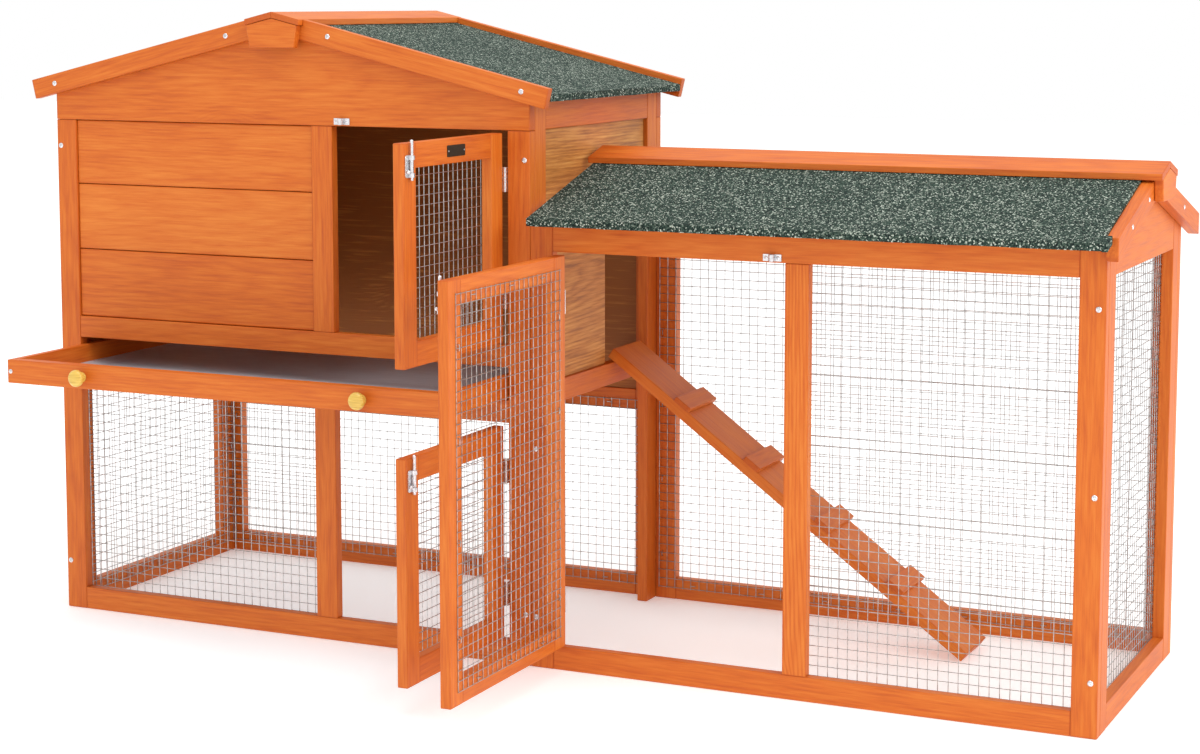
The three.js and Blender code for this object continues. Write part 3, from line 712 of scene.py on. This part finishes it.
def wire_panel(node, axis, body="hutch"):
    """Welded half-inch mesh in the box of a CAD mesh node."""
    panel = Panel(node, axis)
    low = panel.low
    high = panel.high
    middle = (low[panel.normal] + high[panel.normal]) / 2
    out = Vector([1 if i == panel.normal else 0 for i in range(3)])
    soup = Soup()

    def wire(direction, across, offset):
        """One slightly wavy wire along direction, at the place across on the other axis."""
        length = high[direction] - low[direction]
        steps = max(3, round(length / 0.03))
        drift = RANDOM.uniform(0, 100)
        path = []
        for i in range(steps + 1):
            point = Vector((0, 0, 0))
            point[direction] = low[direction] + length * i / steps
            wave = 0.00035 * noise.noise(Vector((point[direction] * 14, drift, 0)))
            bow = 0.00030 * noise.noise(Vector((point[direction] * 11, drift, 7)))
            point[panel.other(direction)] = across + wave
            point[panel.normal] = middle + offset + bow
            path.append(point)
        soup.tube(path, WIRE_RADIUS, 6, out)

    inset = 0.0012
    for direction, offset in ((2, -WIRE_RADIUS), (panel.level, WIRE_RADIUS)):
        other = panel.other(direction)
        room = high[other] - low[other] - 2 * inset
        count = round(room / MESH_PITCH)
        for i in range(count + 1):
            across = low[other] + inset + room * i / count
            wire(direction, across + RANDOM.uniform(-0.0002, 0.0002), offset)
    soup.piece(f"{node}_wires", WIRE, body, "wire_mesh", node)


def staples(name, node, axis, face_side, body="hutch"):
    """Small wire staples round the rim of a panel, driven towards face_side."""
    panel = Panel(node, axis)
    soup = Soup()
    crown = (panel.high if face_side < 0 else panel.low)[panel.normal]
    shoulder = crown + face_side * 0.0006
    foot = crown + face_side * 0.005
    shape = ((-1, foot), (-1, shoulder), (-0.8, crown), (0.8, crown), (1, shoulder), (1, foot))

    def staple(centre, direction):
        sweep = Vector((0, 0, 0))
        sweep[direction] = STAPLE_WIDTH / 2
        path = []
        for side, depth in shape:
            point = centre + sweep * side
            point[panel.normal] = depth
            path.append(point)
        reference = Vector((0, 0, 0))
        reference[panel.other(direction)] = 1
        soup.tube(path, 0.00055, 6, reference)

    rim = 0.006
    for along in (panel.level, 2):
        other = panel.other(along)
        length = panel.high[along] - panel.low[along]
        count = max(2, round(length / 0.11))
        for edge in (panel.low[other] + rim, panel.high[other] - rim):
            for i in range(count):
                centre = Vector((0, 0, 0))
                centre[along] = panel.low[along] + length * (i + 0.5) / count
                centre[along] += RANDOM.uniform(-0.008, 0.008)
                centre[other] = edge
                staple(centre, along)
    soup.piece(name, WIRE, body, "wire_mesh")


# ---- house walls

def build_house_front():
    make = Wood("house_front_frame")
    f = HOUSE
    behind = recessed(f.y)
    left, right, between = split(f.x, STILE)
    middle = (f.x0 + MID_STILE, f.x0 + MID_STILE + STILE)
    make.board("front_stile_left", left, f.y, f.z, "z")
    make.board("front_stile_right", right, f.y, f.z, "z")
    make.board("front_bottom_rail", between, behind, (f.z0, f.z0 + RAIL), "x")
    make.board("front_tray_rail", between, behind, TRAY_RAIL, "x")
    make.board("front_floor_rail", between, behind, FLOOR_RAIL, "x")
    make.board("front_mid_stile_lower", middle, behind, (RAIL, TRAY_RAIL[0]), "z")
    make.board("front_mid_stile_upper", middle, behind, (FLOOR_RAIL[1], f.z1), "z")

    gable = Box("front_gable_board")
    under = gable.z1 - HOUSE_SLOPE * (RIDGE_X - gable.x0)
    outline = [(gable.x0, gable.z0), (gable.x1, gable.z0), (gable.x1, under),
               (RIDGE_X, gable.z1), (gable.x0, under)]
    make = Wood("front_gable_board")
    make.prism("gable_board_front", outline, "y", gable.y)

    cladding = Box("front_cladding")
    levels = [cladding.z0, *CLADDING_JOINTS, cladding.z1]
    half_joint = 0.0004
    make = Wood("front_cladding")
    for i in range(3):
        z = (levels[i] + half_joint, levels[i + 1] - half_joint)
        make.board(f"cladding_board_{i + 1}", cladding.x, cladding.y, z, "x", ease=0.0021)


def build_house_sides():
    for name in ("left", "right"):
        node = f"{name}_side_frame"
        make = Wood(node)
        f = Box(node)
        inner = recessed(f.x)
        front, back, between = split(f.y, SIDE_STILE)
        make.board(f"{name}_side_stile_front", f.x, front, f.z, "z")
        make.board(f"{name}_side_stile_back", f.x, back, f.z, "z")
        make.board(f"{name}_side_floor_rail", inner, between, SIDE_FLOOR_RAIL, "y")
        make.board(f"{name}_side_top_rail", inner, between, (EAVES, f.z1), "y")
        if name == "left":
            make.board("left_side_bottom_rail", inner, between, (0, RAIL), "y")

    panel = Box("left_wall_panel")
    make = Wood("left_wall_panel", slot="plywood", material=PLYWOOD)
    make.board("plywood_left", panel.x, panel.y, panel.z, "y", ease=PANEL_EASE)

    # The right wall has a doorway for the ramp, open at its foot and at its back edge.
    panel = Box("right_wall_panel")
    make = Wood("right_wall_panel", slot="plywood", material=PLYWOOD)
    door_y = HOUSE.y0 + 0.240
    door_top = 0.565
    outline = [(panel.y0, panel.z0), (door_y, panel.z0), (door_y, door_top),
               (panel.y1, door_top), (panel.y1, panel.z1), (panel.y0, panel.z1)]
    make.prism("plywood_right", outline, "x", panel.x, ease=PANEL_EASE)


def build_house_back():
    make = Wood("house_back_frame")
    f = HOUSE_BACK
    behind = recessed(f.y)
    eaves = f.z1 - HOUSE_SLOPE * (RIDGE_X - f.x0)
    left, right, between = split(f.x, STILE)
    make.board("back_stile_left", left, f.y, (f.z0, EAVES), "z")
    make.board("back_stile_right", right, f.y, (f.z0, EAVES), "z")
    make.board("back_bottom_rail", between, behind, (f.z0, f.z0 + RAIL), "x")
    make.board("back_mid_rail", between, behind, BACK_RAIL, "x")
    outline = [(f.x0, EAVES), (f.x1, EAVES), (f.x1, eaves), (RIDGE_X, f.z1), (f.x0, eaves)]
    make.prism("gable_board_back", outline, "y", f.y)

    panel = Box("back_wall_panel")
    # The back panel is made much darker (tone -0.5): painted shade for the inside of the upper room.
    make = Wood("back_wall_panel", slot="plywood", material=PLYWOOD, tone=-0.5)
    make.board("plywood_back", panel.x, panel.y, panel.z, "x", ease=PANEL_EASE)

    for side in ("left", "right"):
        runner = Box(f"tray_runner_{side}")
        Wood(f"tray_runner_{side}").board(f"runner_{side}", runner.x, runner.y, runner.z, "y")


# ---- run walls

def build_run():
    for name, box in (("front", RUN), ("back", RUN_BACK)):
        make = Wood(f"run_{name}_frame")
        left, right, between = split(box.x, SIDE_STILE, STILE)
        behind = recessed(box.y)
        make.board(f"run_{name}_stile_left", left, box.y, box.z, "z")
        make.board(f"run_{name}_stile_right", right, box.y, box.z, "z")
        make.board(f"run_{name}_bottom_rail", between, behind, (0, RAIL), "x")
        make.board(f"run_{name}_top_rail", between, behind, (RUN_TOP_RAIL, box.z1), "x")
    stile = Box("run_mid_stile")
    Wood("run_mid_stile", material=FIGURED).board(
        "run_stile_middle", stile.x, stile.y, (RAIL, RUN_TOP_RAIL), "z")

    f = Box("run_end_frame")
    make = Wood("run_end_frame")
    inner = recessed(f.x)
    front, back, between = split(f.y, SIDE_STILE)

    def under(y):
        return f.z1 - RUN_SLOPE * abs(y - RIDGE_Y)

    for name, (near, far) in (("front", front), ("back", back)):
        outline = [(near, 0), (far, 0), (far, under(far)), (near, under(near))]
        make.prism(f"run_end_stile_{name}", outline, "x", f.x, (0, 0, 1), (1, 0, 0))
    make.board("run_end_bottom_rail", inner, between, (0, RAIL), "y")
    outline = [(front[1], RUN_TOP_RAIL), (back[0], RUN_TOP_RAIL), (back[0], under(back[0])),
               (RIDGE_Y, f.z1), (front[1], under(front[1]))]
    make.prism("run_end_gable", outline, "x", inner)


# ---- roofs

def felt_sheet(name, node, axis, eave, ridge, top, thickness, span):
    """Felt over one roof slope, folded down over the eave, with a slightly uneven surface."""
    columns = 26
    fold = 0.0006
    hem = top(eave) - thickness + 0.001
    inner = eave + math.copysign(FELT, ridge - eave)
    outline = [(eave, hem)]
    for i in range(columns + 1):
        u = eave + (ridge - eave) * i / columns
        outline.append((u, top(u)))
    outline += [(ridge, top(ridge) - FELT), (inner, top(eave) - FELT - fold), (inner, hem)]
    rows = max(2, round((span[1] - span[0]) / 0.012))
    rings = []
    for i in range(rows + 1):
        along = span[0] + (span[1] - span[0]) * i / rows
        ring = []
        for u, z in outline:
            lift = 0.00045 * noise.noise(Vector((u * 17, along * 17, 3)))
            lift += 0.0003 * noise.noise(Vector((u * 60, along * 60, 9)))
            x, y = (u, along) if axis == "y" else (along, u)
            ring.append(Vector((x, y, z + lift)))
        rings.append(ring)
    soup = Soup()
    soup.skin(rings)
    soup.piece(name, ROOF_FELT, "hutch", "roof_felt", node)


def roof_board(name, node, axis, eave, ridge, top, thickness, span):
    """The board under the felt."""
    clear = 0.0008
    start = eave + math.copysign(FELT + GAP, ridge - eave)
    outline = [(start, top(start) - thickness), (ridge, top(ridge) - thickness),
               (ridge, top(ridge) - FELT - clear), (start, top(start) - FELT - clear)]
    make = Wood(node, slot="roof_felt", material=PLYWOOD)
    along = (0, 1, 0) if axis == "y" else (1, 0, 0)
    make.prism(name, outline, axis, span, along, (0, 0, 1), ease=PANEL_EASE)


def ridge_cap(node, name, axis, edges, ridge, slope):
    """Two boards that meet over the ridge, along the y or the x axis."""
    cap = Box(node)
    plumb = upright(CAP_THICKNESS, slope)
    for side, edge in edges:
        edge_top = cap.z1 - slope * abs(edge - ridge)
        lean = slope if edge < ridge else -slope
        outline = [(edge, edge_top - plumb), (ridge, cap.z1 - plumb), (ridge, cap.z1),
                   (edge, edge_top)]
        if axis == "y":
            span, along, thin = cap.y, (0, 1, 0), (-lean, 0, 1)
        else:
            span, along, thin = cap.x, (1, 0, 0), (0, -lean, 1)
        Wood(node).prism(f"{name}_{side}", outline, axis, span, along, thin, ease=0.0009)


def build_house_roof():
    thickness = upright(ROOF_THICKNESS, HOUSE_SLOPE)
    for side in ("left", "right"):
        node = f"house_roof_{side}"
        box = Box(node)
        eave, ridge = box.x if side == "left" else (box.x1, box.x0)
        slope = ("y", eave, ridge, house_felt, thickness, box.y)
        felt_sheet(f"house_felt_{side}", node, *slope)
        roof_board(f"house_roof_board_{side}", node, *slope)

    cap = Box("house_ridge_cap")
    edges = (("left", cap.x0), ("right", cap.x1))
    ridge_cap("house_ridge_cap", "house_cap", "y", edges, RIDGE_X, HOUSE_SLOPE)

    for name, side in (("left", -1), ("right", 1)):
        node = f"front_bargeboard_{name}"
        house_bargeboard(node, f"barge_barge__{name}", side, Box(node).y)
    for name, side in (("left", -1), ("right", 1)):
        node = "back_bargeboards"
        house_bargeboard(node, f"back_bargeboard_{name}", side, Box(node).y)

    block = Box("house_gable_block")
    outline = gable_block(RIDGE_X, house_felt, block.z0)
    Wood("house_gable_block").prism("house_gable_end_block", outline, "y", block.y, ease=BLOCK_EASE)


def house_bargeboard(node, name, side, y):
    """Cut square at its foot and let in under the ridge cap."""
    drop = upright(BARGE_HEIGHT, HOUSE_SLOPE)
    slant = math.hypot(1, HOUSE_SLOPE)
    cap_edge = RIDGE_X + side * (Box("house_ridge_cap").x1 - RIDGE_X + GAP)
    tip = Box("front_bargeboard_left").x0 if side < 0 else Box("front_bargeboard_right").x1
    foot = tip - side * BARGE_HEIGHT * HOUSE_SLOPE / slant

    def top(x):
        return house_felt(x) + BARGE_RISE

    outline = [(foot, top(tip) - BARGE_HEIGHT / slant), (RIDGE_X, top(RIDGE_X) - drop),
               (RIDGE_X, house_felt(RIDGE_X)), (cap_edge, house_felt(cap_edge)),
               (cap_edge, top(cap_edge)), (tip, top(tip))]
    Wood(node).prism(name, outline, "y", y, (1, 0, -side * HOUSE_SLOPE), (0, 1, 0))


def gable_block(centre, top, bottom):
    """The outline of the block under a ridge cap's end, wider at its shoulders."""
    foot = 0.0345
    shoulder = 0.040
    return [(centre - foot, bottom), (centre + foot, bottom),
            (centre + shoulder, top(centre + shoulder)), (centre, top(centre)),
            (centre - shoulder, top(centre - shoulder))]


def build_run_roof():
    thickness = upright(ROOF_THICKNESS, RUN_SLOPE)
    span = Box("run_roof_back").x
    for side in ("front", "back"):
        node = f"run_roof_{side}"
        box = Box(node)
        eave, ridge = box.y if side == "front" else (box.y1, box.y0)
        slope = ("x", eave, ridge, run_felt, thickness, span)
        felt_sheet(f"run_felt_{side}", node, *slope)
        roof_board(f"run_roof_board_{side}", node, *slope)

    # The front eave passes the end bargeboard as a short lip.
    front = Box("run_roof_front")
    barge = Box("run_bargeboards")
    lip = (front.y0, barge.y0 - 0.001)
    outline = [(lip[0], run_felt(lip[0]) - thickness), (lip[1], run_felt(lip[1]) - thickness),
               (lip[1], run_felt(lip[1])), (lip[0], run_felt(lip[0]))]
    make = Wood("run_roof_front", slot="roof_felt", material=ROOF_FELT)
    make.prism("run_felt_lip", outline, "x", (span[1] + 0.0001, front.x1), (1, 0, 0), (0, 0, 1))

    cap = Box("run_ridge_cap")
    edges = (("front", cap.y0), ("back", cap.y1))
    ridge_cap("run_ridge_cap", "run_cap", "x", edges, RIDGE_Y, RUN_SLOPE)

    drop = upright(BARGE_HEIGHT, RUN_SLOPE)
    for side, edge in (("front", barge.y0), ("back", barge.y1)):
        lean = RUN_SLOPE if side == "front" else -RUN_SLOPE
        edge_top = run_felt(edge) - BARGE_SINK
        ridge_top = RUN_TOP - BARGE_SINK
        outline = [(edge, edge_top - drop), (RIDGE_Y, ridge_top - drop), (RIDGE_Y, ridge_top),
                   (edge, edge_top)]
        Wood("run_bargeboards").prism(f"run_bargeboard_{side}", outline, "x", barge.x,
                                      (0, 1, lean), (1, 0, 0))

    block = Box("run_gable_block")
    outline = gable_block(RIDGE_Y, run_felt, block.z0)
    Wood("run_gable_block").prism("run_gable_end_block", outline, "x", block.x, ease=BLOCK_EASE)


# ---- doors and their hardware

def strap_outline(half, foot=GAP):
    """Sheet metal bent over the rod, seen along it: flat ends at height foot and a round hump."""
    top = foot + SHEET
    outer = ROD_CENTRE - GAP
    inner = ROD_RADIUS + ROD_PLAY
    open_half = 0.0012
    steps = 16
    start = math.acos((ROD_CENTRE - top) / outer)
    sweep = 2 * math.pi - 2 * start
    points = [(-half, foot), (-half, top)]
    for k in range(steps + 1):
        t = -math.pi / 2 - start - sweep * k / steps
        points.append((outer * math.cos(t), ROD_CENTRE + outer * math.sin(t)))
    points += [(half, top), (half, foot), (open_half, foot)]
    tilt = math.asin(open_half / inner)
    for k in range(steps + 1):
        t = -math.pi / 2 + tilt + (2 * math.pi - 2 * tilt) * k / steps
        points.append((inner * math.cos(t), ROD_CENTRE + inner * math.sin(t)))
    points.append((-open_half, foot))
    return points


def build_bolt_base(door, plate, place):
    """A base plate with two straps and four screws."""
    half = (plate.y1 - plate.y0) / 2
    trim = 0.0004
    soup = Soup()
    place.slab(soup, rounded((-half, half), plate.z, 0.0032), (GAP, GAP + SHEET))
    # The straps' ends stand half a sheet proud of the plate.
    outline = strap_outline(half - 0.0035, GAP + SHEET / 2)
    place.fold(soup, outline, (plate.z1 - STRAP_HEIGHT, plate.z1 - trim))
    place.fold(soup, outline, (plate.z0 + trim, plate.z0 + STRAP_HEIGHT))
    # The screws are let into the plate, so that the knob passes over them.
    sunk = 0.0004
    for a in (-half + 0.0028, half - 0.0028):
        for c in (plate.z0 + 0.0085, plate.z1 - 0.0085):
            soup.screw(place.at(a, GAP + SHEET - sunk, c), place.out, 0.5)
    soup.piece(f"{door}_bolt_base", ZINC, door, "zinc_hardware", f"{door}_bolt_plate")


def build_bolt_rod(door, plate, place):
    """A round rod whose side handle ends in a ball."""
    rod = Box(f"{door}_bolt_rod")
    length = rod.z1 - rod.z0
    soup = Soup()
    profile = [(ROD_RADIUS * 0.8, 0), (ROD_RADIUS, 0.0005), (ROD_RADIUS, length - 0.0009),
               (ROD_RADIUS * 0.6, length)]
    soup.turn(profile, place.at(0, ROD_CENTRE, rod.z0), UP, 20)
    # At rest the handle stands just over the lower strap, and its travel ends under the other.
    height = plate.z0 + STRAP_HEIGHT + 0.0017
    arm = [place.at(-HANDLE_REACH * k / 4, ROD_CENTRE, height) for k in range(5)]
    soup.tube(arm, HANDLE_RADIUS, 12, UP)
    angles = [math.pi * (k + 0.35) / 9.7 for k in range(10)]
    ball = [(HANDLE_BALL * math.sin(t), -HANDLE_BALL * math.cos(t)) for t in angles]
    soup.turn(ball, arm[-1], place.side, 20)
    soup.piece(f"{door}_bolt_slider", ZINC, f"{door}_bolt", "zinc_hardware", f"{door}_bolt_rod")


def build_keeper(door, face):
    """The strap on the frame above the door, which takes the rod's end."""
    keeper = Box(f"{door}_keeper")
    half = (keeper.x1 - keeper.x0) / 2
    place = Place(((keeper.x0 + keeper.x1) / 2, face, 0), (1, 0, 0), (0, -1, 0))
    soup = Soup()
    place.fold(soup, strap_outline(half), keeper.z)
    for a in (-half + 0.0042, half - 0.0042):
        soup.screw(place.at(a, GAP + SHEET, (keeper.z0 + keeper.z1) / 2), place.out, 0.62)
    soup.piece(f"{door}_bolt_keeper", ZINC, "hutch", "zinc_hardware", f"{door}_keeper")


def build_bolt(door, outward):
    """A barrel bolt on the door's outer face, and its keeper."""
    plate = Box(f"{door}_bolt_plate")
    face = plate.x0 if outward > 0 else plate.x1
    face -= outward * GAP
    place = Place((face, (plate.y0 + plate.y1) / 2, 0), (0, 1, 0), (outward, 0, 0))
    build_bolt_base(door, plate, place)
    build_bolt_rod(door, plate, place)
    build_keeper(door, HOUSE.y0)


def build_hinge(door, where, axis, side):
    """Butt hinge with five knuckles: two move with the door. side is where the frame stands."""
    node = f"{door}_hinge_{where}"
    box = Box(node)
    ease = 0.0002
    gap = 0.0002
    height = box.z1 - box.z0
    step = height / 5
    fixed = Soup()
    moving = Soup()
    knuckle = [(KNUCKLE_RADIUS - ease, 0), (KNUCKLE_RADIUS, ease),
               (KNUCKLE_RADIUS, step - 2 * gap - ease), (KNUCKLE_RADIUS - ease, step - 2 * gap)]
    for k in range(5):
        target = moving if k % 2 else fixed
        target.turn(knuckle, Vector((axis.x, axis.y, box.z0 + k * step + gap)), UP, 20)
    pin = [(0.0009, 0), (PIN_RADIUS, 0.0003), (PIN_RADIUS, height), (0.0006, height + 0.0004)]
    fixed.turn(pin, Vector((axis.x, axis.y, box.z0 - 0.0002)), UP, 14)

    # The fixed leaf lies on the frame's edge, and the other on the edge of the open door.
    corner = 0.0012
    inner = axis.x + side * (KNUCKLE_RADIUS - SHEET)
    near, far = sorted((inner, axis.x + side * KNUCKLE_RADIUS))
    leaf = Place((near, 0, 0), (0, 1, 0), (1, 0, 0))
    depth = (axis.y - gap, axis.y + LEAF_WIDTH)
    leaf.slab(fixed, rounded(depth, box.z, corner), (0, far - near))
    depth = (axis.x - side * (LEAF_WIDTH + 0.0012), axis.x + side * gap)
    leaf = Place((0, axis.y + SHEET / 2, 0), (1, 0, 0), (0, -1, 0))
    leaf.slab(moving, rounded(sorted(depth), box.z, corner), (0, SHEET))
    fixed.piece(f"{node}_leaf_fixed", ZINC, "hutch", "zinc_hardware", node)
    moving.piece(f"{node}_leaf_moving", ZINC, door, "zinc_hardware")


def build_door(door, outward):
    """One door, standing open at rest: its face looks along X, and its width runs along Y."""
    member = 0.031
    f = Box(f"{door}_frame")
    make = Wood(f"{door}_frame", body=door)
    inner = recessed(f.x)
    free, hinged, between = split(f.y, member)
    make.board(f"{door}_stile_free", f.x, free, f.z, "z")
    make.board(f"{door}_stile_hinge", f.x, hinged, f.z, "z")
    make.board(f"{door}_rail_bottom", inner, between, (f.z0, f.z0 + member), "y")
    make.board(f"{door}_rail_top", inner, between, (f.z1 - member, f.z1), "y")
    wire_panel(f"{door}_mesh", "x", door)
    staples(f"{door}_staples", f"{door}_mesh", "x", outward, door)
    build_bolt(door, outward)
    joint = next(j for j in frame["joints"] if j["name"] == f"{door}_hinge")
    axis = Vector(joint["pos_m"])
    for where in ("upper", "lower"):
        build_hinge(door, where, axis, outward)


def build_label():
    """A plain riveted plate without lettering on the upper door's top rail."""
    half_width = 0.023
    half_height = 0.0072
    rivet = 0.0200  # from the middle
    f = Box("upper_door_frame")
    place = Place((f.x1 - REVEAL, (f.y0 + f.y1) / 2 + 0.004, 0), (0, 1, 0), (1, 0, 0))
    centre = f.z1 - 0.0155
    outline = rounded((-half_width, half_width), (centre - half_height, centre + half_height), 0.0014)
    soup = Soup()
    place.slab(soup, outline, (-0.0001, 0.0009))
    soup.piece("upper_door_label_plate", LABEL, "upper_door", "zinc_hardware")
    soup = Soup()
    for a in (-rivet, rivet):
        soup.turn([(0.0011, 0), (0.0010, 0.0004), (0.0005, 0.0007)],
                  place.at(a, 0.0008, centre), place.out, 16)
    soup.piece("upper_door_label_rivets", ZINC, "upper_door", "zinc_hardware")


# ---- tray and ramp

def build_tray_boards():
    front = Box("tray_front_board")
    Wood("tray_front_board", body="tray").board("tray_front", front.x, front.y, front.z, "x")
    f = Box("tray_side_frame")
    make = Wood("tray_side_frame", body="tray")
    left, right, between = split(f.x, TRAY_SIDE)
    make.board("tray_side_left", left, f.y, f.z, "y")
    make.board("tray_side_right", right, f.y, f.z, "y")
    make.board("tray_back", between, (f.y1 - TRAY_SIDE, f.y1 - REVEAL), f.z, "x")


def build_tray_sheet():
    """A folded sheet: a flat, slightly wavy floor whose rim turns up against the boards."""
    floor = Box("tray_floor")
    sheet = 0.0006
    lip = 0.004
    columns = 24
    rows = 14
    grid = []
    for j in range(rows + 1):
        row = []
        for i in range(columns + 1):
            x = floor.x0 + (floor.x1 - floor.x0) * i / columns
            y = floor.y0 + (floor.y1 - floor.y0) * j / rows
            edge = i in (0, columns) or j in (0, rows)
            wave = 0.0006 * noise.noise(Vector((x * 7, y * 7, 0)))
            row.append(Vector((x, y, floor.z0 + sheet + (lip if edge else wave))))
        grid.append(row)
    lower = [[p - Vector((0, 0, sheet)) for p in row] for row in grid]
    soup = Soup()
    for layer in (grid, lower):
        for row in layer:
            soup.points.extend(row)
    width = columns + 1
    offset = width * (rows + 1)
    for j in range(rows):
        for i in range(columns):
            a = j * width + i
            quad = (a, a + 1, a + width + 1, a + width)
            soup.faces.append(quad)
            soup.faces.append((quad[0] + offset, quad[3] + offset, quad[2] + offset,
                               quad[1] + offset))
    corners = [(0, i) for i in range(columns)] + [(j, columns) for j in range(rows)]
    corners += [(rows, i) for i in range(columns, 0, -1)] + [(j, 0) for j in range(rows, 0, -1)]
    rim = [j * width + i for j, i in corners]
    for k, a in enumerate(rim):
        b = rim[(k + 1) % len(rim)]
        soup.faces.append((a, a + offset, b + offset, b))
    soup.piece("tray_sheet", TRAY_STEEL, "tray", "tray_steel", "tray_floor")


def build_tray_knobs():
    """Mushroom knobs: a waisted foot and a domed head."""
    brim = 0.0125
    steps = 8
    for k in (1, 2):
        box = Box(f"tray_knob_{k}")
        radius = (box.x1 - box.x0) / 2
        length = box.y1 - box.y0
        centre = Vector(((box.x0 + box.x1) / 2, box.y1, (box.z0 + box.z1) / 2))
        profile = [(0.0068, 0.0), (0.0070, 0.0004), (0.0063, 0.002), (0.0057, 0.0045),
                   (0.0058, 0.0066), (0.0068, 0.0078), (0.0092, 0.0086), (radius - 0.0004, 0.0102)]
        for i in range(steps + 1):
            t = math.pi / 2 * i / steps
            profile.append((max(radius * math.cos(t) ** 0.55, 0.0002),
                            brim + (length - brim) * math.sin(t)))
        soup = Soup()
        soup.turn(profile, centre, (0, -1, 0), 40)
        soup.piece(f"tray_pull_{k}", KNOB_WOOD, "tray", "knob_wood", f"tray_knob_{k}")


def build_ramp():
    """A plank with four cleats, leaning from the doorway to the ground."""
    box = Box("ramp")
    thickness = 0.015
    length = 0.634
    overhang = 0.003
    cleat_width = 0.026
    cleat_height = 0.008
    # The tilt follows from the corners of the box: the foot stands on box.z0.
    top = Vector((HOUSE.x0 + 0.7465, 0, 0.387))
    diagonal = math.hypot(length, thickness)
    tilt = math.asin((top.z - box.z0) / diagonal) - math.atan2(thickness, length)
    down = Vector((math.cos(tilt), 0, -math.sin(tilt)))
    normal = Vector((math.sin(tilt), 0, math.cos(tilt)))
    y = (box.y0 + overhang, box.y1 - overhang)

    def cross(start, end, low, high):
        corners = ((start, low), (end, low), (end, high), (start, high))
        points = [top + down * s + normal * n for s, n in corners]
        return [(p.x, p.z) for p in points]

    # The ramp's boards are made lighter (tone 0.12): painted light for the light that falls on its
    # upper face.
    make = Wood("ramp", body="ramp", tone=0.12)
    make.prism("ramp_plank", cross(0, length, -thickness, 0), "y", y, down, normal)
    for i in range(1, 5):
        centre = length * i / 5
        half = cleat_width / 2
        make.prism(f"ramp_cleat_{i}", cross(centre - half, centre + half, 0.0001, cleat_height),
                   "y", box.y, (0, 1, 0), normal)


# ---- screws

def build_screws():
    stiles = (
        (HOUSE.x0 + 0.006, (0.664, 0.068)), (HOUSE.x1 - 0.008, (0.663, 0.068)),
        (RUN.x1 - 0.009, (0.511, 0.289, 0.067)), (RUN.x0 + 0.007, (0.289, 0.067)),
    )
    soup = Soup()
    for face, out in ((HOUSE.y0, (0, -1, 0)), (HOUSE_BACK.y1, (0, 1, 0))):
        for x, heights in stiles:
            for z in heights:
                soup.screw((x, face, z), out)

    barge = Box("front_bargeboard_left")
    rear = Box("back_bargeboards")
    middle = BARGE_RISE - BARGE_HEIGHT / 2
    for face, out in ((barge.y0, (0, -1, 0)), (rear.y1, (0, 1, 0))):
        for offset in (-0.366, -0.080, 0.080, 0.366):
            x = RIDGE_X + offset
            soup.screw((x, face, house_felt(x) + middle), out)
    ends = Box("run_bargeboards")
    for offset in (-0.150, -0.062, 0.062, 0.150):
        y = RIDGE_Y + offset
        soup.screw((ends.x1, y, run_felt(y) - BARGE_SINK - BARGE_HEIGHT / 2), (1, 0, 0), 0.85)
    soup.piece("frame_screws", ZINC, "hutch", "zinc_hardware")

    tray = Box("tray_front_board")
    soup = Soup()
    for x in (tray.x0 + 0.005, tray.x1 - 0.005):
        soup.screw((x, tray.y0, (tray.z0 + tray.z1) / 2), (0, -1, 0), 0.85)
    soup.piece("tray_screws", ZINC, "tray", "zinc_hardware")


# ---- the whole

def build_floor():
    plane = bmesh.new()
    bmesh.ops.create_grid(plane, x_segments=4, y_segments=4, size=14)
    mesh = bpy.data.meshes.new("floor")
    plane.to_mesh(mesh)
    plane.free()
    mesh.materials.append(floor_material())
    floor = bpy.data.objects.new("floor", mesh)
    floor.location.z = -0.0004
    bpy.context.scene.collection.objects.link(floor)


make_camera()
make_studio()
build_floor()
build_house_front()
build_house_sides()
build_house_back()
build_run()
build_house_roof()
build_run_roof()
for panel, direction, toward in (
    ("house_front_mesh", "y", -1), ("left_side_mesh", "x", -1), ("house_back_mesh", "y", 1),
    ("run_front_mesh", "y", -1), ("run_back_mesh", "y", 1), ("run_end_mesh", "x", 1),
):
    wire_panel(panel, direction)
    staples(f"{panel}_staples", panel, direction, toward)
for name, outward in (("upper_door", 1), ("lower_door", 1), ("run_door", -1)):
    build_door(name, outward)
build_label()
build_tray_boards()
build_tray_sheet()
build_tray_knobs()
build_ramp()
build_screws()

bpy.context.view_layer.update()
